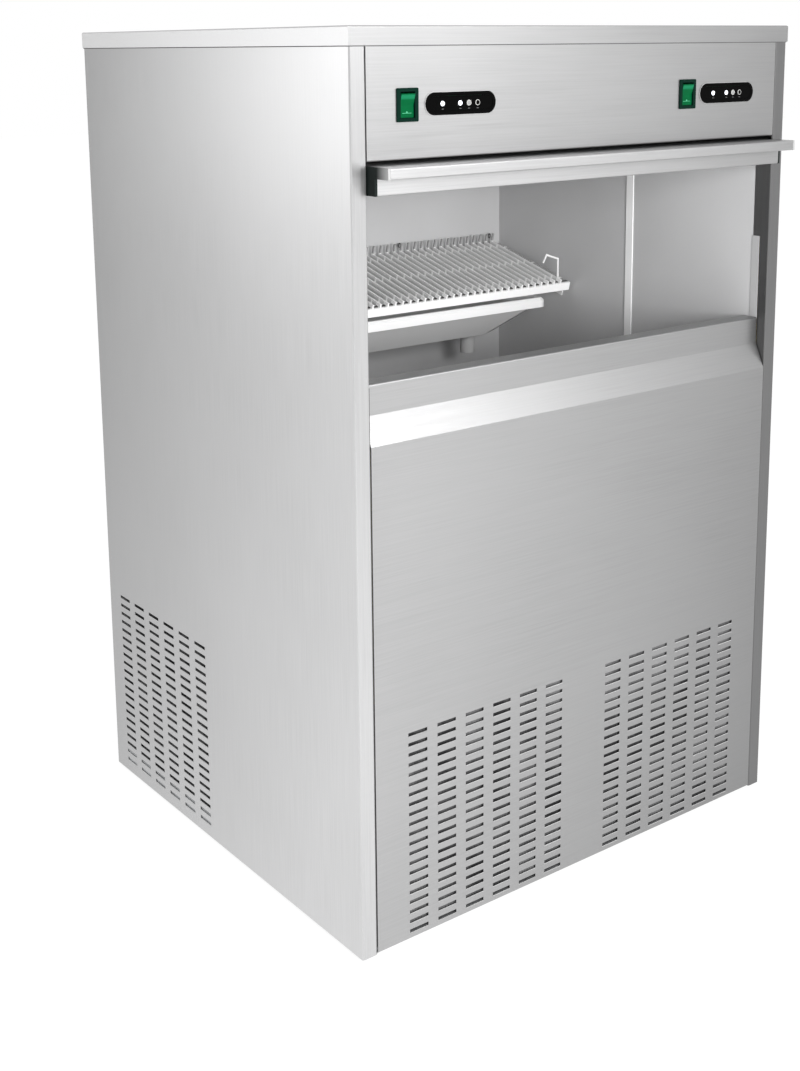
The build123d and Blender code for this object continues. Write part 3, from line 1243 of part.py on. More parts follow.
# Cooling lines: from each freezing unit over the back and down to its compressor,
# and from the compressor forward to its condenser
LINE_ABOVE_CEILING = 24.0
SUCTION_ABOVE_PAN = 110.0
DISCHARGE_ABOVE_CONDENSER = 12.0
DISCHARGE_FROM_SHELL = 30.0
SUCTION_BEND = 16.0
DISCHARGE_BEND = 5.0
service_y = y_at(SERVICE_LINE_FROM_FRONT)
for side, sign in SIDES:
    unit_x = sign * UNIT_X
    suction_z = pan_top + SUCTION_ABOVE_PAN
    over_ceiling = ceiling_top + LINE_ABOVE_CEILING
    with BuildPart() as cooling_lines:
        suction = [
            (unit_x, line_y, evaporator_top),
            (unit_x, line_y, over_ceiling),
            (unit_x, service_y, over_ceiling),
            (unit_x, service_y, suction_z),
            (unit_x, compressor_y + COMPRESSOR_RADIUS + FIT, suction_z),
        ]
        add(tube(softened(suction, SUCTION_BEND)))
        discharge_z = condenser_z[1] + DISCHARGE_ABOVE_CONDENSER
        shell_front = compressor_y - COMPRESSOR_RADIUS - FIT
        riser_y = shell_front - DISCHARGE_FROM_SHELL
        discharge = [
            (unit_x, shell_front, suction_z),
            (unit_x, riser_y, suction_z),
            (unit_x, riser_y, discharge_z),
            (unit_x, condenser_mid_y, discharge_z),
            (unit_x, condenser_mid_y, condenser_z[1] + FIT),
        ]
        add(tube(softened(discharge, DISCHARGE_BEND)))
    finish(cooling_lines, f"cooling_lines_{side}")

# Water inlet valve: body on the rear panel with the threaded end and its nut outside
rear_inner_y = REAR_PANEL_Y
outer_y = DEPTH / 2 + FITTING_REACH
VALVE_THREAD_RADIUS = 13.2
VALVE_BORE_RADIUS = 8.0
VALVE_NUT_RADIUS = 19.0
VALVE_NUT = 6.0
VALVE_BODY = (46.0, 40.0)
VALVE_BODY_CORNER = 4.0
VALVE_BODY_DEPTH = 34.0
with BuildPart() as water_valve:
    with BuildSketch(Plane.XZ.offset(-rear_inner_y)):
        with Locations((VALVE_X, VALVE_Z)):
            RectangleRounded(*VALVE_BODY, VALVE_BODY_CORNER)
    extrude(amount=VALVE_BODY_DEPTH)
    with BuildSketch(Plane.XZ.offset(-rear_inner_y)):
        with Locations((VALVE_X, VALVE_Z)):
            Circle(VALVE_THREAD_RADIUS)
    extrude(amount=-(outer_y - rear_inner_y))
    with BuildSketch(Plane.XZ.offset(-(rear_inner_y + SHEET + RUNNING_FIT))):
        with Locations((VALVE_X, VALVE_Z)):
            RegularPolygon(VALVE_NUT_RADIUS, 6)
    extrude(amount=-VALVE_NUT)
    with BuildSketch(Plane.XZ.offset(-outer_y)):
        with Locations((VALVE_X, VALVE_Z)):
            Circle(VALVE_BORE_RADIUS)
    extrude(amount=outer_y - rear_inner_y, mode=Mode.SUBTRACT)
finish(water_valve, "water_valve")

# Drain pipe: from the strainer down and out through the rear panel, with a stop collar there
DRAIN_SHORTER = 5.0
DRAIN_BEND = 20.0
with BuildPart() as drain_pipe:
    drain_route = [
        (0, drain_y, BIN_FLOOR_Z - LINER),
        (0, drain_y, DRAIN_Z),
        (0, outer_y - DRAIN_SHORTER, DRAIN_Z),
    ]
    add(pipe(softened(drain_route, DRAIN_BEND), DRAIN_RADIUS, DRAIN_WALL))
    with BuildSketch(Plane.XZ.offset(-(rear_inner_y + SHEET + RUNNING_FIT))):
        with Locations((0, DRAIN_Z)):
            Circle(DRAIN_RADIUS + DRAIN_COLLAR)
            Circle(DRAIN_RADIUS - DRAIN_WALL, mode=Mode.SUBTRACT)
    extrude(amount=-DRAIN_COLLAR)
finish(drain_pipe, "drain_pipe")

# Cable gland in the rear panel: thread and nut inside, hexagon and clamping cap outside
GLAND_HEXAGON_RADIUS = 14.0
GLAND_HEXAGON = 8.0
GLAND_CAP_RADIUS = 10.0
GLAND_CAP = 10.0
GLAND_THREAD = 14.0
GLAND_BORE_RADIUS = 5.0
gland_plane = Plane(
    origin=(INLET_X, rear_inner_y + SHEET, INLET_Z),
    x_dir=(-1, 0, 0),
    z_dir=(0, 1, 0),
)
with BuildPart() as power_inlet:
    with BuildSketch(gland_plane):
        RegularPolygon(GLAND_HEXAGON_RADIUS, 6)
    extrude(amount=GLAND_HEXAGON)
    with BuildSketch(gland_plane):
        Circle(INLET_HOLE_RADIUS - FIT)
    extrude(amount=-GLAND_THREAD)
    with BuildSketch(gland_plane.offset(GLAND_HEXAGON)):
        Circle(GLAND_CAP_RADIUS)
    extrude(amount=GLAND_CAP)
    with BuildSketch(gland_plane.offset(GLAND_HEXAGON + GLAND_CAP)):
        Circle(GLAND_BORE_RADIUS)
    extrude(amount=-(GLAND_HEXAGON + GLAND_CAP + GLAND_THREAD), mode=Mode.SUBTRACT)
finish(power_inlet, "power_inlet")
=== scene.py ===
from math import cos, pi, radians, sin

import bmesh
import bpy
from mathutils import Euler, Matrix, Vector


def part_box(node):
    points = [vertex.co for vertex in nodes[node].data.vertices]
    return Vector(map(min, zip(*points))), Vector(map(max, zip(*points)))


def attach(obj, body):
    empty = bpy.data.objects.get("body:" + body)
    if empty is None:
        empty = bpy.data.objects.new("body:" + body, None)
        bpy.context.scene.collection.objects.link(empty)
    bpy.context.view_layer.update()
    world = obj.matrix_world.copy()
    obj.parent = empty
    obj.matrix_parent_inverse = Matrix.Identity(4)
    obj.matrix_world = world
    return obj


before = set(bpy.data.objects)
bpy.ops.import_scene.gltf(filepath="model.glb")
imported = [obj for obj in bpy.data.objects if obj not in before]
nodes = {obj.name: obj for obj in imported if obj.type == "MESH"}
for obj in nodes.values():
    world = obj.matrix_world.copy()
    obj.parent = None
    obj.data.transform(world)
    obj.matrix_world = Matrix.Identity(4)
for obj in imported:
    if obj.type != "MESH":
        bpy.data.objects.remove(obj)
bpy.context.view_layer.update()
scene = bpy.context.scene

# Camera: place in metres, turn in degrees, lens and long side in millimetres, framing shift
CAMERA_PLACE = (-1.2114, -1.5510, 1.0197)
CAMERA_TURN = (79.125, 0.514, -37.132)
CAMERA_LENS = 50.163
CAMERA_SHIFT = (-0.0048, -0.1900)
SENSOR_SIZE = 36.0

# Light, and the share of the floor that glows white where it is seen
AMBIENT = 0.85
FLOOR_SIZE = 30.0
FLOOR_GLOW = 1.06
FLOOR_GLOW_SHARE = 0.85
# Each lamp's name, place, target, size in metres, watts, and whether metal mirrors it
LAMPS = (
    ("right_front", (1.2, -2.7, 1.7), (-0.3, -0.3, 0.7), 1.0, 14.0, True),
    ("left_back", (-2.3, 1.7, 1.3), (-0.34, -0.3, 0.6), 1.4, 14.0, True),
    ("front", (-0.5, -2.4, 0.7), (0.0, 0.0, 0.76), 1.0, 30.0, False),
    ("bin_fill", (-0.8, -2.4, 1.15), (0.05, 0.1, 0.60), 0.8, 52.0, False),
)

# Slide, in metres along and above its sloping plane
SLIDE_ANGLE = 15.0
SLIDE_BAR_RISE = 0.006
SLIDE_LENGTH = 0.166
SLIDE_TICK = 0.018
SLIDE_RIB_PLACES = (0.0199, 0.083, 0.1494)
SLIDE_RIB_HALF = 0.0030
SLIDE_NOTCH_FROM = 0.0035
SLIDE_NOTCH_RISES = (-0.0004, 0.0012)
SLIDE_TICK_CLEAR = 0.0010
SLIDE_RAIL_WIDTH = 0.0092

# Heights and depths at which the painted light and shade on a moulding change, in metres
TUB_LIP_HEIGHT = 0.0140
END_CAP_SHADE_FADE = 0.0200
SHARP_CHANGE = 0.0004

# Displays and rockers, in metres
LAMP_OFFSETS = (-0.0255, -0.0015, 0.0105, 0.0225)
LENS_RADIUS = 0.0027
LENS_RISE = 0.0008
RING_THICKNESS = 0.0004
MARK_DROP = 0.0058
MARK_HALF = 0.0014
MARK_HEIGHT = 0.0009
MARK_RISE = 0.0002
HIGHLIGHT_RIM_THICKNESS = 0.0004
ROCKER_MARK_SHARE = 0.22
ROCKER_PIP = 0.0012
ROCKER_BAR_HALF = 0.0060
ROCKER_BAR_DROPS = (0.0012, 0.0006)
ROCKER_BAR_DEPTHS = (-0.0002, 0.0004)
ROCKER_REFLECTION_BAND = (0.72, 0.80, 0.90, 0.96)
FINE_BEVEL = 0.0001

# Bin details, in metres
RING_PIN_X = (-0.2926, -0.1171, 0.1171, 0.2926)
RING_PIN_RADIUS = 0.0030
RING_PIN_WIRE = 0.0009
RING_PIN_DROP = 0.0045
RING_PIN_FACING = (0.35, -1.0, 0.0)
EDGE_STRIP_INNER = 0.3186
EDGE_STRIP = 0.0005
EDGE_STRIP_FROM = 0.0150
EDGE_STRIP_TO = 0.0275
EDGE_STRIP_Z = (0.6630, 0.7720)

# Grilles, in metres
SLOT_LENGTH = 0.0270
SLOT_HEIGHT = 0.0045
SLOT_COLUMNS = 6
SLOT_ROWS = 21
SLOT_COLUMN_PITCH = 0.0417
SLOT_ROW_PITCH = 0.01215
FRONT_GRILLE_X = 0.15415
FRONT_GRILLE_Z = 0.1370
SIDE_GRILLE_Y = 0.1535
SIDE_GRILLE_Z = 0.1450
GRILLE_HALF = 0.1200
GRILLE_HALF_HEIGHT = 0.1220
FIN_BEHIND = 0.0030
FIN_DEPTH = 0.0080
FIN_FOLD = 0.6
FIN_PITCH = 0.0040
SLOT_HIGHLIGHT_THICKNESS = 0.00025
SLOT_HIGHLIGHT_HEIGHT = 0.0010
SLOT_HIGHLIGHT_INTO_SLOT = 0.0004

# Seams and screws, in metres
SEAM = 0.0004
SEAM_HEIGHT = 0.0010
SEAM_SET_BACK = 0.0010
JAMB_FACE_X = 0.3188
SCREW_HEAD = 0.0040
SCREW_RISE = 0.0018
SCREW_SOCKET = 0.0020
SCREW_INSET = 0.0100
SCREW_HEIGHTS = (0.08, 0.30, 0.52, 0.74, 0.96)

# Colours, as linear light
STEEL = (0.400, 0.400, 0.402)
LINER_GREY = (0.500, 0.500, 0.504)
TRIM_WHITE = (0.880, 0.880, 0.880)
TUB_PAINTED_SHADE_GREY = (0.480, 0.480, 0.480)
WHITE_PLASTIC = (0.800, 0.800, 0.800)
SLIDE_GREY = (0.800, 0.800, 0.800)
SLIDE_GAP_PAINTED_SHADE = (0.380, 0.380, 0.380)
SLIDE_NOTCH_PAINTED_SHADE = (0.080, 0.080, 0.080)
SLIDE_TICK_GREY = (0.300, 0.300, 0.300)
SLIDE_PAINTED_HIGHLIGHT = (0.930, 0.930, 0.930)
BLACK_PLASTIC = (0.010, 0.014, 0.013)
BEZEL_GREEN_BLACK = (0.002, 0.012, 0.008)
END_CAP_GREY = (0.300, 0.300, 0.300)
ROCKER_GREEN = (0.0, 0.064, 0.019)
ROCKER_PAINTED_REFLECTION_GREEN = (0.006, 0.120, 0.052)
ROCKER_MARK_GREEN = (0.050, 0.260, 0.140)
DISPLAY_BLACK = (0.0015, 0.0015, 0.0015)
LENS_GREY = (0.200, 0.200, 0.200)
LENS_RING_GREY = (0.420, 0.420, 0.400)
MARK_GREY = (0.070, 0.070, 0.070)
PIN_AND_SEAM_SHADE_GREY = (0.090, 0.090, 0.090)
FIN_PAINTED_SHADE_DARK = (0.045, 0.045, 0.047)
FIN_PAINTED_SHADE_LIGHT = (0.210, 0.210, 0.213)
STEEL_EDGE = (0.700, 0.700, 0.700)
SLOT_EDGE = (0.420, 0.420, 0.420)
FOAM_YELLOW = (0.720, 0.620, 0.360)
GALVANISED = (0.420, 0.430, 0.440)
ALUMINIUM = (0.560, 0.570, 0.580)
PAINT_BLACK = (0.014, 0.014, 0.015)
COPPER = (0.640, 0.290, 0.150)
BRASS = (0.620, 0.450, 0.170)
RUBBER = (0.020, 0.020, 0.020)
BOARD_GREEN = (0.012, 0.120, 0.040)
NYLON = (0.680, 0.670, 0.620)
CONDENSER_PAINTED_SHADE_GREY = (0.160, 0.160, 0.165)
LIT_WHITE = (0.900, 0.930, 1.000)
FLOOR_WHITE = (0.860, 0.860, 0.860)
PURE_WHITE = (1.0, 1.0, 1.0, 1.0)

# Painted light and shade on the steel sheets, as a tone swept across each one: start, direction, and the
# shares of the colour at both ends
LEFT_PAINTED_LIGHT_SWEEP = ((0.0, 0.306, 1.04), (0.0, -1.125, -0.44), (0.62, 1.50))
RIGHT_PAINTED_LIGHT_SWEEP = ((0.0, -0.31, 0.0), (0.0, 0.40, 0.0), (0.44, 1.0))
FRONT_PAINTED_LIGHT_SWEEP = ((0.32, 0.0, 0.0), (-1.45, 0.0, 0.25), (0.64, 1.16))
DOOR_PAINTED_LIGHT_SWEEP = ((0.32, 0.0, 0.0), (-1.56, 0.0, 0.0), (0.90, 1.60))

FORWARD = (0.0, -1.0, 0.0)
BACKWARD = (0.0, 1.0, 0.0)
PAIRED = ("left", "right")


class Surface:
    """A material with a Principled shader, and helpers that add procedural detail to it."""

    def __init__(self, name, roughness, metallic=0.0, gloss=0.5):
        self.material = bpy.data.materials.new(name)
        self.material.use_nodes = True
        self.tree = self.material.node_tree
        self.shader = self.tree.nodes["Principled BSDF"]
        self.shader.inputs["Metallic"].default_value = metallic
        self.shader.inputs["Roughness"].default_value = roughness
        self.shader.inputs["Specular IOR Level"].default_value = gloss
        self.place = self.tree.nodes.new("ShaderNodeTexCoord").outputs["Object"]

    def link(self, source, target):
        self.tree.links.new(source, target)

    def noise(self, scale, stretch=(1, 1, 1), detail=4.0):
        """Noise over the surface, stretched along each axis by the given factors."""
        mapping = self.tree.nodes.new("ShaderNodeMapping")
        mapping.inputs["Scale"].default_value = stretch
        self.link(self.place, mapping.inputs["Vector"])
        texture = self.tree.nodes.new("ShaderNodeTexNoise")
        texture.inputs["Scale"].default_value = scale
        texture.inputs["Detail"].default_value = detail
        self.link(mapping.outputs["Vector"], texture.inputs["Vector"])
        return texture.outputs["Fac"]

    def spread(self, source, low, high, from_low=0.3, from_high=0.7):
        """Maps a factor to a range of values."""
        spread = self.tree.nodes.new("ShaderNodeMapRange")
        spread.inputs["From Min"].default_value = from_low
        spread.inputs["From Max"].default_value = from_high
        spread.inputs["To Min"].default_value = low
        spread.inputs["To Max"].default_value = high
        self.link(source, spread.inputs["Value"])
        return spread.outputs["Result"]

    def along(self, origin, direction):
        """Offset of each point from an origin, as its dot product with a direction."""
        away = self.tree.nodes.new("ShaderNodeVectorMath")
        away.operation = "SUBTRACT"
        away.inputs[1].default_value = origin
        self.link(self.place, away.inputs[0])
        measure = self.tree.nodes.new("ShaderNodeVectorMath")
        measure.operation = "DOT_PRODUCT"
        measure.inputs[1].default_value = direction
        self.link(away.outputs["Vector"], measure.inputs[0])
        return measure.outputs["Value"]

    def step(self, source, edge, blur=0.0002):
        """Goes from 0 to 1 as a factor passes an edge."""
        return self.spread(source, 0.0, 1.0, edge - blur, edge + blur)

    def band(self, source, start, full, fade, end):
        """Rises from 0 to 1 between two values of a factor, and falls back between two more."""
        rise = self.spread(source, 0.0, 1.0, start, full)
        fall = self.spread(source, 1.0, 0.0, fade, end)
        both = self.tree.nodes.new("ShaderNodeMath")
        both.operation = "MULTIPLY"
        self.link(rise, both.inputs[0])
        self.link(fall, both.inputs[1])
        return both.outputs["Value"]

    def mix(self, factor, first, second):
        """Mix of two colours, each a colour value or another node's output."""
        mixer = self.tree.nodes.new("ShaderNodeMix")
        mixer.data_type = "RGBA"
        sockets = {s.identifier: s for s in mixer.inputs}
        self.link(factor, sockets["Factor_Float"])
        for value, socket in ((first, sockets["A_Color"]), (second, sockets["B_Color"])):
            if isinstance(value, tuple):
                socket.default_value = (*value, 1.0)
            else:
                self.link(value, socket)
        return {s.identifier: s for s in mixer.outputs}["Result_Color"]

    def colour(self, source):
        self.link(source, self.shader.inputs["Base Color"])

    def roughness(self, source):
        self.link(source, self.shader.inputs["Roughness"])

    def bump(self, source, strength, depth):
        bump = self.tree.nodes.new("ShaderNodeBump")
        bump.inputs["Strength"].default_value = strength
        bump.inputs["Distance"].default_value = depth
        self.link(source, bump.inputs["Height"])
        self.link(bump.outputs["Normal"], self.shader.inputs["Normal"])


def shade(colour, factor):
    """A colour made lighter or darker by a factor."""
    return tuple(min(1.0, channel * factor) for channel in colour)


def brushed_steel(name, grain_axis, origin, direction, painted_light_tones, roughness=0.36):
    """Brushed stainless sheet with its grain along one axis and faint clouds, and painted light and shade
    swept
    across it: its tone goes from the first share to the second while the offset along the direction goes
    from 0 to 1."""
    surface = Surface(name, roughness, metallic=0.9)
    painted_light_sweep = surface.spread(surface.along(origin, direction), 0.0, 1.0, 0.0, 1.0)
    stretch = [1.0, 1.0, 1.0]
    stretch["XYZ".index(grain_axis)] = 0.012
    grain = surface.noise(900.0, tuple(stretch), detail=3.0)
    clouds = surface.noise(3.5, detail=2.0)
    ends = []
    # Each end of the sweep is the same steel, painted darker or lighter as shade and sheen
    for tone in painted_light_tones:
        dark, light, cloudy = (shade(STEEL, share * tone) for share in (0.93, 1.06, 1.10))
        fine = surface.mix(surface.spread(grain, 0.0, 1.0), dark, light)
        ends.append(surface.mix(surface.spread(clouds, 0.0, 0.45), fine, cloudy))
    surface.colour(surface.mix(painted_light_sweep, *ends))
    surface.roughness(surface.spread(grain, roughness - 0.06, roughness + 0.08))
    surface.bump(grain, 0.12, 0.00006)
    return surface.material


def moulded(name, colour, roughness, texture_size=0.0012, gloss=0.5, bump=0.08):
    """Moulded plastic with a faint grain and a little unevenness of tone."""
    surface = Surface(name, roughness, gloss=gloss)
    grain = surface.noise(1.0 / texture_size, detail=2.0)
    clouds = surface.noise(6.0, detail=2.0)
    tone = surface.mix(surface.spread(clouds, 0.0, 1.0), shade(colour, 0.95), shade(colour, 1.04))
    surface.colour(tone)
    surface.roughness(surface.spread(grain, roughness - 0.04, roughness + 0.05))
    surface.bump(grain, bump, 0.0001)
    return surface.material


def painted(name, colour, roughness, metallic=0.0):
    """Paint, plating or bare metal with orange-peel bump and cloudy wear."""
    surface = Surface(name, roughness, metallic=metallic)
    peel = surface.noise(260.0, detail=2.0)
    clouds = surface.noise(14.0, detail=5.0)
    surface.colour(surface.mix(surface.spread(clouds, 0.0, 1.0), shade(colour, 0.82), shade(colour, 1.18)))
    surface.roughness(surface.spread(clouds, roughness - 0.08, roughness + 0.10))
    surface.bump(peel, 0.15, 0.0002)
    return surface.material


def finned(name):
    """Fins painted dark as the shade seen through the grilles, patchy from dark to light grey."""
    surface = Surface(name, 0.65, gloss=0.2)
    patches = surface.noise(22.0, (1.0, 1.0, 0.6), detail=4.0)
    surface.colour(surface.mix(surface.spread(patches, 0.0, 1.0, 0.38, 0.64), FIN_PAINTED_SHADE_DARK, FIN_PAINTED_SHADE_LIGHT))
    surface.bump(surface.noise(500.0, detail=2.0), 0.2, 0.0002)
    return surface.material


def foamed(name, colour):
    """Cut rigid foam with open cells."""
    surface = Surface(name, 0.85)
    cells = surface.tree.nodes.new("ShaderNodeTexVoronoi")
    cells.inputs["Scale"].default_value = 420.0
    surface.link(surface.place, cells.inputs["Vector"])
    distance = cells.outputs["Distance"]
    surface.colour(surface.mix(distance, shade(colour, 0.75), shade(colour, 1.1)))
    surface.bump(distance, 0.5, 0.0008)
    return surface.material


def glowing(name, colour, strength):
    """Small lit lens."""
    surface = Surface(name, 0.25, gloss=0.2)
    surface.shader.inputs["Emission Color"].default_value = (*colour, 1.0)
    surface.shader.inputs["Emission Strength"].default_value = strength
    haze = surface.noise(700.0, detail=1.0)
    surface.colour(surface.mix(haze, shade(colour, 0.7), colour))
    return surface.material


# The four steel copies differ by painted light and shade: the left side lighter towards its front and foot,
# the right side darker towards its front, the front and the door lighter towards the left
steel_left = brushed_steel("steel_left", "Z", *LEFT_PAINTED_LIGHT_SWEEP)
steel_right = brushed_steel("steel_right", "Z", *RIGHT_PAINTED_LIGHT_SWEEP)
steel_front = brushed_steel("steel_front", "X", *FRONT_PAINTED_LIGHT_SWEEP)
steel_door = brushed_steel("steel_door", "X", *DOOR_PAINTED_LIGHT_SWEEP)
liner_white = moulded("liner_plastic", LINER_GREY, 0.42)
white_plastic = moulded("white_plastic", WHITE_PLASTIC, 0.38)
black_plastic = moulded("black_plastic", BLACK_PLASTIC, 0.42, gloss=0.2)
bezel_plastic = moulded("bezel_plastic", BEZEL_GREEN_BLACK, 0.35, gloss=0.03)
display_plastic = moulded("display_plastic", DISPLAY_BLACK, 0.3, gloss=0.02, bump=0.02)
trim_plastic = moulded("trim_plastic", TRIM_WHITE, 0.4)
# Liner plastic painted darker as the shade on the jambs
jamb_painted_shade_plastic = moulded("jamb_painted_shade_plastic", shade(LINER_GREY, 0.75), 0.5)
mark_print = moulded("mark_print", MARK_GREY, 0.5, gloss=0.1)
lens_grey = moulded("lens_grey", LENS_GREY, 0.3, gloss=0.2)
lens_ring = moulded("lens_ring", LENS_RING_GREY, 0.35, gloss=0.2)
# Dark grey of the ring pins, also used for the painted shade in the seams
pin_and_seam_shade = moulded("pin_and_seam_shade", PIN_AND_SEAM_SHADE_GREY, 0.6, gloss=0.1)
rocker_mark = moulded("rocker_mark", ROCKER_MARK_GREEN, 0.4, gloss=0.2)
nylon_plastic = moulded("nylon_plastic", NYLON, 0.5)
rubber = moulded("rubber", RUBBER, 0.7)
galvanised = painted("galvanised_sheet", GALVANISED, 0.42, metallic=0.85)
aluminium = painted("aluminium_sheet", ALUMINIUM, 0.4, metallic=0.9)
# Condenser metal painted dark grey as the shade seen through the slots
fin_metal = painted("condenser_metal", CONDENSER_PAINTED_SHADE_GREY, 0.5, metallic=0.6)
fin_block = finned("condenser_fins")
black_paint = painted("black_paint", PAINT_BLACK, 0.4)
copper = painted("copper_tube", COPPER, 0.35, metallic=0.95)
brass = painted("brass_fitting", BRASS, 0.35, metallic=0.95)
board = painted("circuit_board", BOARD_GREEN, 0.45)
foam = foamed("rigid_foam", FOAM_YELLOW)
light_lens = glowing("light_lens", LIT_WHITE, 0.9)
edge_steel = painted("bright_edge", STEEL_EDGE, 0.4, metallic=0.6)
# Light grey for the painted highlights on the slot edges
slot_edge = painted("slot_edge", SLOT_EDGE, 0.45, metallic=0.6)


def slide_comb():
    """One grey plastic comb with painted light and shade: painted shade in the gaps between the bars,
    painted highlights on the cross ribs and the front rail, painted shade in the rail's notches, and a
    darker grey upstand.
    """
    low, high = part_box("ice_slide")
    slope = radians(SLIDE_ANGLE)
    tick_top = SLIDE_LENGTH * sin(slope) + SLIDE_TICK * cos(slope)
    foot = (0.0, low[1] + SLIDE_BAR_RISE * sin(slope), high[2] - tick_top)
    surface = Surface("slide_plastic", 0.45)
    forward = surface.along(foot, (0.0, cos(slope), sin(slope)))
    upward = surface.along(foot, (0.0, -sin(slope), cos(slope)))
    # Painted shade in the gaps below the bars
    above = surface.step(upward, 0.5 * SLIDE_BAR_RISE, blur=0.5 * SLIDE_BAR_RISE)
    tone = surface.mix(above, SLIDE_GAP_PAINTED_SHADE, SLIDE_GREY)
    tick = surface.step(upward, SLIDE_BAR_RISE + SLIDE_TICK_CLEAR)
    tone = surface.mix(tick, tone, SLIDE_TICK_GREY)
    # Painted highlight along each cross rib
    for place in SLIDE_RIB_PLACES:
        rib = surface.band(forward, place - SLIDE_RIB_HALF, place, place, place + SLIDE_RIB_HALF)
        tone = surface.mix(rib, tone, SLIDE_PAINTED_HIGHLIGHT)
    # Painted highlight on the front rail, with painted shade in its notches
    notch_foot, notch_top = SLIDE_NOTCH_RISES
    low_part = surface.mix(surface.step(upward, notch_foot), SLIDE_PAINTED_HIGHLIGHT, SLIDE_NOTCH_PAINTED_SHADE)
    notched = surface.mix(surface.step(upward, notch_top), low_part, SLIDE_PAINTED_HIGHLIGHT)
    front = surface.mix(surface.step(forward, SLIDE_NOTCH_FROM), SLIDE_PAINTED_HIGHLIGHT, notched)
    surface.colour(surface.mix(surface.step(forward, SLIDE_RAIL_WIDTH), front, tone))
    surface.bump(surface.noise(800.0, detail=2.0), 0.05, 0.0001)
    return surface.material


def rocker_shades():
    """Green rocker with a painted reflection: a lighter band near its top."""
    low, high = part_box("switch_rocker_left")
    surface = Surface("rocker_plastic", 0.3, gloss=0.05)
    height = surface.along((0.0, 0.0, low[2]), (0.0, 0.0, 1.0 / (high[2] - low[2])))
    green = surface.mix(surface.noise(90.0), shade(ROCKER_GREEN, 0.85), shade(ROCKER_GREEN, 1.15))
    # Painted reflection on the rocker's upper tilt
    surface.colour(surface.mix(surface.band(height, *ROCKER_REFLECTION_BAND), green, ROCKER_PAINTED_REFLECTION_GREEN))
    return surface.material


def tub_shades():
    """Tub of one plastic, white at its lip and painted darker grey over the body below it as shade."""
    surface = Surface("tub_plastic", 0.42)
    height = surface.along((0.0, 0.0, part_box("water_tub")[1][2] - TUB_LIP_HEIGHT), (0.0, 0.0, 1.0))
    # Painted shade on the body that slopes away under the lip
    body = surface.mix(surface.noise(8.0), shade(TUB_PAINTED_SHADE_GREY, 0.94), shade(TUB_PAINTED_SHADE_GREY, 1.04))
    surface.colour(surface.mix(surface.step(height, 0.0, blur=SHARP_CHANGE), body, TRIM_WHITE))
    return surface.material


def end_cap_shades():
    """Door end, grey towards the tip of the grip lip and fading into black behind it, the black painted as
    the shade inside the hollow lip.
    """
    low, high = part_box("door_end_cap_left")
    surface = Surface("end_cap_plastic", 0.45, gloss=0.1)
    back = surface.along((0.0, low[1], 0.0), BACKWARD)
    shade_share = surface.spread(back, 0.0, 1.0, 0.0, END_CAP_SHADE_FADE)
    # Painted shade inside the hollow lip
    lip_shade_black = surface.mix(surface.noise(200.0), BLACK_PLASTIC, shade(BLACK_PLASTIC, 0.6))
    surface.colour(surface.mix(shade_share, END_CAP_GREY, lip_shade_black))
    return surface.material


slide_plastic = slide_comb()
tub_plastic = tub_shades()
end_cap_plastic = end_cap_shades()
rocker_plastic = rocker_shades()

DRESS = {
    steel_left: ["left_side_panel"],
    steel_right: ["right_side_panel"],
    steel_front: ["top_cover", "control_panel", "lower_front_panel"],
    steel_door: ["door_skin"],
    galvanised: ["rear_panel", "base_pan", "compartment_deck", "fan_shroud_*"],
    rubber: ["levelling_feet"],
    bezel_plastic: ["switch_bezel_*"],
    display_plastic: ["display_bezel_*", "display_window_*"],
    end_cap_plastic: ["door_end_cap_*"],
    black_plastic: ["fan_left", "fan_right", "power_inlet", "tray_motor_*", "water_pump"],
    rocker_plastic: ["switch_rocker_*"],
    light_lens: ["indicator_lights"],
    board: ["control_boards"],
    liner_white: ["bin_liner", "door_inner_panel", "bin_ceiling"],
    foam: ["bin_insulation", "door_foam"],
    nylon_plastic: ["door_slider_*", "door_guide_*"],
    white_plastic: ["slide_brackets", "water_tray_*", "water_hose", "drain_pipe", "full_probe"],
    trim_plastic: ["liner_trim_strips"],
    tub_plastic: ["water_tub"],
    slide_plastic: ["ice_slide"],
    aluminium: ["evaporator_*", "tray_hangers"],
    fin_metal: ["condenser_*"],
    black_paint: ["compressor_*", "fan_motor_*"],
    copper: ["cooling_lines_*"],
    brass: ["water_valve"],
}


def dress(material, names):
    """Puts a material on CAD nodes; a star in a name stands for left and right."""
    for name in names:
        for side in PAIRED if "*" in name else ("",):
            mesh_object = nodes[name.replace("*", side)]
            for slot in mesh_object.material_slots:
                slot.material = material


for material, names in DRESS.items():
    dress(material, names)


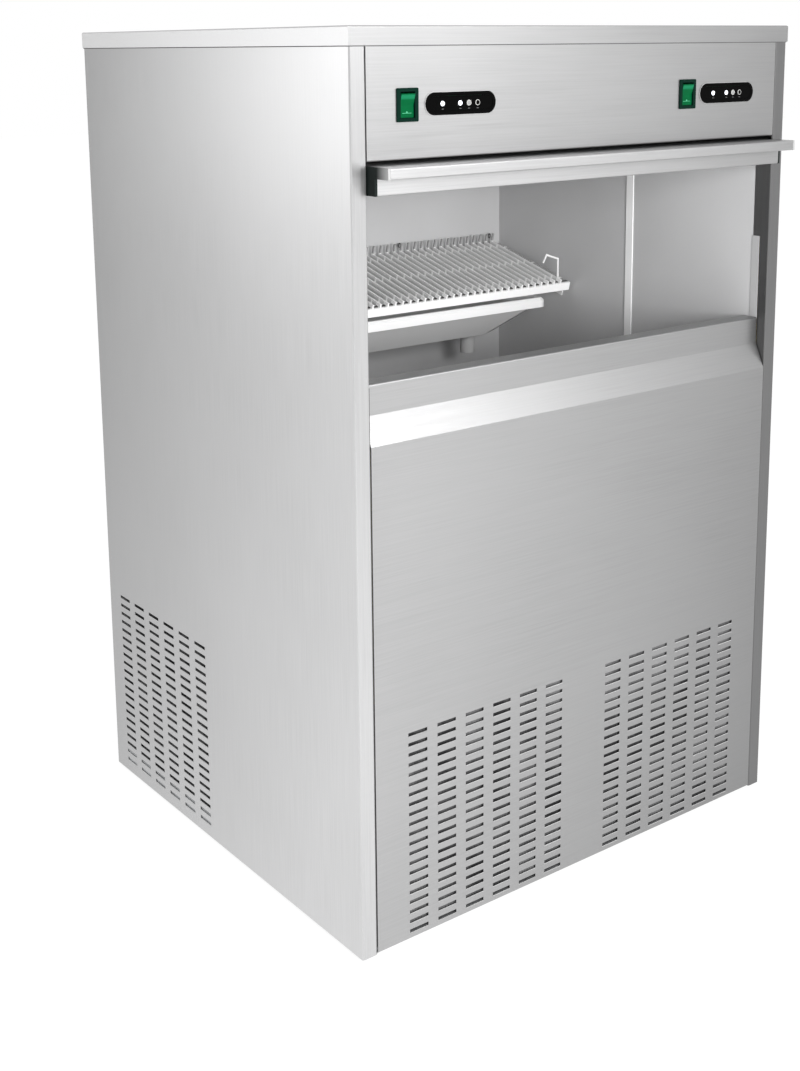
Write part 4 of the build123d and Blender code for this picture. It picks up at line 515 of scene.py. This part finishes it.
class Piece:
    """Mesh of one visual piece, built up from closed solids."""

    def __init__(self, name, material, body="cabinet"):
        self.name, self.material, self.body = name, material, body
        self.mesh = bmesh.new()

    def bar(self, low, high, bevel):
        """Bar between two corners with bevelled edges."""
        verts = bmesh.ops.create_cube(self.mesh, size=1.0)["verts"]
        for vert in verts:
            vert.co = Vector([high[i] if vert.co[i] > 0 else low[i] for i in range(3)])
        edges = list({edge for vert in verts for edge in vert.link_edges})
        bmesh.ops.bevel(self.mesh, geom=edges, offset=bevel, segments=1, affect="EDGES")

    def loops(self, loops, closed):
        """Skin over a row of vertex loops, joined end to end or with a face at each end."""
        rings = [[self.mesh.verts.new(point) for point in loop] for loop in loops]
        pairs = list(zip(rings, rings[1:]))
        if closed:
            pairs.append((rings[-1], rings[0]))
        else:
            self.mesh.faces.new(rings[0])
            self.mesh.faces.new(reversed(rings[-1]))
        for first, second in pairs:
            for i in range(len(first)):
                j = (i + 1) % len(first)
                self.mesh.faces.new((first[j], first[i], second[i], second[j]))

    def turned(self, profile, centre, facing, closed=False, flats=24, stretch=0.0):
        """Profile of radius and height turned about an axis, and drawn out sideways by a stretch."""
        turn = Vector((0, 0, 1)).rotation_difference(Vector(facing)).to_matrix()
        loops = []
        for radius, height in profile:
            loop = []
            for step in range(flats):
                angle = 2 * pi * (step + 0.5) / flats
                across = radius * cos(angle)
                across += stretch if across > 0 else -stretch
                loop.append(Vector(centre) + turn @ Vector((across, radius * sin(angle), height)))
            loops.append(loop)
        self.loops(loops, closed)

    def finish(self, smooth=False):
        bmesh.ops.recalc_face_normals(self.mesh, faces=self.mesh.faces)
        mesh = bpy.data.meshes.new(self.name)
        for face in self.mesh.faces:
            face.smooth = smooth
        self.mesh.to_mesh(mesh)
        self.mesh.free()
        mesh.materials.append(self.material)
        piece = bpy.data.objects.new(self.name, mesh)
        scene.collection.objects.link(piece)
        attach(piece, self.body)
        return piece


def dome(radius, rise):
    """Profile of a low dome with a straight foot."""
    steps = [pi / 2 * i / 4 for i in range(4)]
    return [(radius, -rise)] + [(radius * cos(a), rise * sin(a)) for a in steps] + [(0.12 * radius, rise)]


def hoop(radius, thickness, sides=8):
    """Closed round profile of a ring."""
    turns = [2 * pi * i / sides for i in range(sides)]
    return [(radius + thickness * cos(a), thickness * sin(a)) for a in turns]


# Lamps of the displays: two lit, one grey and one dark with a ring, and a small mark below each
lamp_low, lamp_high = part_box("indicator_lights")
lamp_z = (lamp_low[2] + lamp_high[2]) / 2
lamp_y = lamp_low[1]
panel_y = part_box("control_panel")[0][1]
lit_lenses = Piece("lit_lenses", light_lens)
grey_lenses = Piece("grey_lenses", lens_grey)
dark_lenses = Piece("dark_lenses", display_plastic)
lens_rings = Piece("lens_rings", lens_ring)
light_marks = Piece("light_marks", mark_print)
# Light rims round the displays are painted highlights
display_highlight_rims = Piece("display_highlight_rims", edge_steel)
for side in PAIRED:
    low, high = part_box(f"display_bezel_{side}")
    middle_x = (low[0] + high[0]) / 2
    for offset, lenses in zip(LAMP_OFFSETS, (lit_lenses, lit_lenses, grey_lenses, dark_lenses)):
        centre = (middle_x + offset, lamp_y, lamp_z)
        lenses.turned(dome(LENS_RADIUS, LENS_RISE), centre, FORWARD)
        if lenses in (grey_lenses, dark_lenses):
            lens_rings.turned(hoop(LENS_RADIUS, RING_THICKNESS), centre, FORWARD, closed=True)
        mark_z = lamp_z - MARK_DROP
        light_marks.bar((centre[0] - MARK_HALF, lamp_y - MARK_RISE, mark_z - MARK_HEIGHT / 2),
                        (centre[0] + MARK_HALF, lamp_y + MARK_RISE, mark_z + MARK_HEIGHT / 2),
                        MARK_RISE / 2)
    # A thin light rim round each display, a painted highlight along the display's edge
    rim_radius = (high[2] - low[2]) / 2
    rim_stretch = (high[0] - low[0]) / 2 - rim_radius
    rim_centre = (middle_x, panel_y, (low[2] + high[2]) / 2)
    display_highlight_rims.turned(hoop(rim_radius, HIGHLIGHT_RIM_THICKNESS), rim_centre, FORWARD,
                         closed=True, flats=48, stretch=rim_stretch)
for lamp_piece in (lit_lenses, grey_lenses, dark_lenses, lens_rings, display_highlight_rims):
    lamp_piece.finish(smooth=True)
light_marks.finish()


def face_depth(node, x, z):
    """Y of a node's front face at a place, found by a ray from the front."""
    _, place, _, _ = nodes[node].ray_cast(Vector((x, -1.0, z)), Vector(BACKWARD))
    return place.y


# Mark on each rocker: a bright pip on a thin bar near its lower end
for side in PAIRED:
    node = f"switch_rocker_{side}"
    low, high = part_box(node)
    middle_x = (low[0] + high[0]) / 2
    mark_z = low[2] + ROCKER_MARK_SHARE * (high[2] - low[2])
    mark_y = face_depth(node, middle_x, mark_z)
    mark = Piece(f"rocker_mark_{side}", rocker_mark, body=f"rocker_{side}")
    mark.turned(dome(ROCKER_PIP, 0.4 * ROCKER_PIP), (middle_x, mark_y, mark_z), FORWARD, flats=16)
    bar_low = (mark_y + ROCKER_BAR_DEPTHS[0], mark_z - ROCKER_BAR_DROPS[0])
    bar_high = (mark_y + ROCKER_BAR_DEPTHS[1], mark_z - ROCKER_BAR_DROPS[1])
    mark.bar((middle_x - ROCKER_BAR_HALF, *bar_low), (middle_x + ROCKER_BAR_HALF, *bar_high), FINE_BEVEL)
    mark.finish()

# Ring pins that hold the slide's upstand to the back wall
ring_pins = Piece("slide_ring_pins", pin_and_seam_shade)
slide_low, slide_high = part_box("ice_slide")
for x in RING_PIN_X:
    centre = (x, slide_high[1] - RING_PIN_WIRE, slide_high[2] - RING_PIN_DROP)
    ring_pins.turned(hoop(RING_PIN_RADIUS, RING_PIN_WIRE), centre, RING_PIN_FACING, closed=True)
ring_pins.finish(smooth=True)

# Strips that close the foam's edge beside the mouth, in the liner plastic painted darker as the shade on
# the jambs
jamb_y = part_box("right_side_panel")[0][1]
for side, sign in zip(PAIRED, (-1, 1)):
    edge = Piece(f"liner_edge_{side}", jamb_painted_shade_plastic)
    across = sorted((sign * EDGE_STRIP_INNER, sign * (EDGE_STRIP_INNER + EDGE_STRIP)))
    edge.bar((across[0], jamb_y + EDGE_STRIP_FROM, EDGE_STRIP_Z[0]),
             (across[1], jamb_y + EDGE_STRIP_TO, EDGE_STRIP_Z[1]), FINE_BEVEL)
    edge.finish()


def folded_block(name, x_range, y_range, z_range, along, material):
    """Block of upright fins with a folded front face, running along x or y."""
    block = Piece(name, material)
    start, end = x_range if along == "x" else y_range
    front, back = y_range if along == "x" else x_range
    count = 2 * round((end - start) / FIN_PITCH)
    crest = front + FIN_FOLD * (back - front)
    runs = [start + (end - start) * i / count for i in range(count + 1)]
    outline = [(run, crest if i % 2 else front) for i, run in enumerate(runs)]
    outline += [(end, back), (start, back)]
    if along == "y":
        outline = [(depth, run) for run, depth in outline]
    block.loops([[Vector((*point, z)) for point in outline] for z in z_range], closed=False)
    block.finish()


def about(middle, half):
    """Range of a given half width about its middle."""
    return middle - half, middle + half


def fin_depths(face):
    """Range of depths behind a sheet's outer face that a finned block fills."""
    return face + FIN_BEHIND, face + FIN_BEHIND + FIN_DEPTH


# Finned blocks close behind the grilles, painted dark as the shade seen through the slots
panel_low, panel_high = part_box("lower_front_panel")
side_low, side_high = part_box("left_side_panel")
for side, sign in zip(PAIRED, (-1, 1)):
    folded_block(f"condenser_fins_{side}", about(sign * FRONT_GRILLE_X, GRILLE_HALF),
                 fin_depths(panel_low[1]), about(FRONT_GRILLE_Z, GRILLE_HALF_HEIGHT), "x", fin_block)
folded_block("side_fins", fin_depths(side_low[0]), about(SIDE_GRILLE_Y, GRILLE_HALF),
             about(SIDE_GRILLE_Z, GRILLE_HALF_HEIGHT), "y", fin_block)

# Painted highlight along the lower edge of each ventilation slot, as a thin bright strip
slot_rows = [(row - (SLOT_ROWS - 1) / 2) * SLOT_ROW_PITCH for row in range(SLOT_ROWS)]
slot_columns = [(column - (SLOT_COLUMNS - 1) / 2) * SLOT_COLUMN_PITCH for column in range(SLOT_COLUMNS)]
front_slot_highlights = Piece("slot_edges_front", slot_edge)
side_slot_highlights = Piece("slot_edges_side", slot_edge)
for row in slot_rows:
    for column in slot_columns:
        for sign in (-1, 1):
            x = sign * FRONT_GRILLE_X + column
            top = FRONT_GRILLE_Z + row - SLOT_HEIGHT / 2 + SLOT_HIGHLIGHT_INTO_SLOT
            front_slot_highlights.bar((x - SLOT_LENGTH / 2, panel_low[1] - SLOT_HIGHLIGHT_THICKNESS, top - SLOT_HIGHLIGHT_HEIGHT),
                            (x + SLOT_LENGTH / 2, panel_low[1] + SLOT_HIGHLIGHT_THICKNESS, top), SLOT_HIGHLIGHT_THICKNESS / 2)
        y = SIDE_GRILLE_Y + column
        top = SIDE_GRILLE_Z + row - SLOT_HEIGHT / 2 + SLOT_HIGHLIGHT_INTO_SLOT
        side_slot_highlights.bar((side_low[0] - SLOT_HIGHLIGHT_THICKNESS, y - SLOT_LENGTH / 2, top - SLOT_HIGHLIGHT_HEIGHT),
                       (side_low[0] + SLOT_HIGHLIGHT_THICKNESS, y + SLOT_LENGTH / 2, top), SLOT_HIGHLIGHT_THICKNESS / 2)
front_slot_highlights.finish()
side_slot_highlights.finish()

# Dark strips painted as the shade in the seams: under the cover's skirt, and in the gaps beside the front
# panels
skirt_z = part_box("top_cover")[0][2]
right_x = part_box("right_side_panel")[1][0]
control_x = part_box("control_panel")[1][0]
seams = Piece("seam_shade_strips", pin_and_seam_shade)
for sign, face_x in ((-1, side_low[0]), (1, right_x)):
    across = sorted((face_x, face_x + sign * SEAM))
    seams.bar((across[0], side_low[1], skirt_z - SEAM_HEIGHT), (across[1], side_high[1], skirt_z), SEAM / 4)
    gap = sorted((sign * control_x, sign * JAMB_FACE_X))
    seams.bar((gap[0], side_low[1] + SEAM_SET_BACK, side_low[2]),
              (gap[1], side_low[1] + SEAM_SET_BACK + SEAM, panel_high[2]), SEAM / 4)
seams.bar((side_low[0], side_low[1] - SEAM, skirt_z - SEAM_HEIGHT),
          (right_x, side_low[1], skirt_z), SEAM / 4)
seams.finish()

# Screws with a sunk socket round the rear panel
rear_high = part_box("rear_panel")[1]
screws = Piece("rear_screws", edge_steel)
head = [(SCREW_HEAD, 0.0), (SCREW_HEAD, 0.5 * SCREW_RISE), (0.8 * SCREW_HEAD, SCREW_RISE),
        (SCREW_SOCKET, SCREW_RISE), (SCREW_SOCKET, 0.3 * SCREW_RISE)]
for sign in (-1, 1):
    for z in SCREW_HEIGHTS:
        place = (sign * (rear_high[0] - SCREW_INSET), rear_high[1], z)
        screws.turned(head, place, BACKWARD, flats=12)
screws.finish()


def white_when_seen(tree, shader, light_type, strength, share, target):
    """Shows white to camera, glossy and transmission rays by a share, and the shader to the rest."""
    path = tree.nodes.new("ShaderNodeLightPath")
    seen = path.outputs["Is Camera Ray"]
    for name in ("Is Glossy Ray", "Is Transmission Ray"):
        either = tree.nodes.new("ShaderNodeMath")
        either.operation = "MAXIMUM"
        tree.links.new(seen, either.inputs[0])
        tree.links.new(path.outputs[name], either.inputs[1])
        seen = either.outputs["Value"]
    part = tree.nodes.new("ShaderNodeMath")
    part.operation = "MULTIPLY"
    part.inputs[1].default_value = share
    tree.links.new(seen, part.inputs[0])
    white = tree.nodes.new(light_type)
    white.inputs["Color"].default_value = PURE_WHITE
    white.inputs["Strength"].default_value = strength
    mixer = tree.nodes.new("ShaderNodeMixShader")
    tree.links.new(part.outputs["Value"], mixer.inputs["Fac"])
    tree.links.new(shader, mixer.inputs[1])
    tree.links.new(white.outputs[0], mixer.inputs[2])
    tree.links.new(mixer.outputs["Shader"], target)


# Floor: seen as white, with a share of its own shading left so that it keeps the shadow
floor_surface = Surface("floor_white", 0.9)
floor_tone = floor_surface.mix(floor_surface.noise(2.0), shade(FLOOR_WHITE, 0.99), FLOOR_WHITE)
floor_surface.colour(floor_tone)
floor_target = floor_surface.tree.nodes["Material Output"].inputs["Surface"]
white_when_seen(floor_surface.tree, floor_surface.shader.outputs["BSDF"], "ShaderNodeEmission",
                FLOOR_GLOW, FLOOR_GLOW_SHARE, floor_target)
bpy.ops.mesh.primitive_plane_add(size=FLOOR_SIZE, location=(0.0, 0.0, 0.0))
floor = bpy.context.object
floor.name = "floor"
floor.data.materials.append(floor_surface.material)

world = bpy.data.worlds.new("studio")
scene.world = world
world.use_nodes = True
ambient = world.node_tree.nodes["Background"]
ambient.inputs["Color"].default_value = PURE_WHITE
ambient.inputs["Strength"].default_value = AMBIENT
world_target = world.node_tree.nodes["World Output"].inputs["Surface"]
white_when_seen(world.node_tree, ambient.outputs["Background"], "ShaderNodeBackground",
                1.0, 1.0, world_target)


def soft_lamp(name, place, target, size, power, mirrored):
    """Square area lamp at a place, turned towards a target, and mirrored in metal or not."""
    lamp = bpy.data.lights.new(name, "AREA")
    lamp.shape = "SQUARE"
    lamp.size = size
    lamp.energy = power
    lamp_object = bpy.data.objects.new(name, lamp)
    scene.collection.objects.link(lamp_object)
    lamp_object.visible_glossy = mirrored
    lamp_object.location = place
    lamp_object.rotation_euler = (Vector(target) - Vector(place)).to_track_quat("-Z", "Y").to_euler()


for lamp in LAMPS:
    soft_lamp(*lamp)

camera_data = bpy.data.cameras.new("camera")
camera_data.sensor_width = SENSOR_SIZE
camera_data.lens = CAMERA_LENS
camera_data.shift_x, camera_data.shift_y = CAMERA_SHIFT
camera = bpy.data.objects.new("camera", camera_data)
scene.collection.objects.link(camera)
camera.location = CAMERA_PLACE
camera.rotation_euler = Euler([radians(angle) for angle in CAMERA_TURN])
scene.camera = camera
scene.view_settings.view_transform = "Standard"
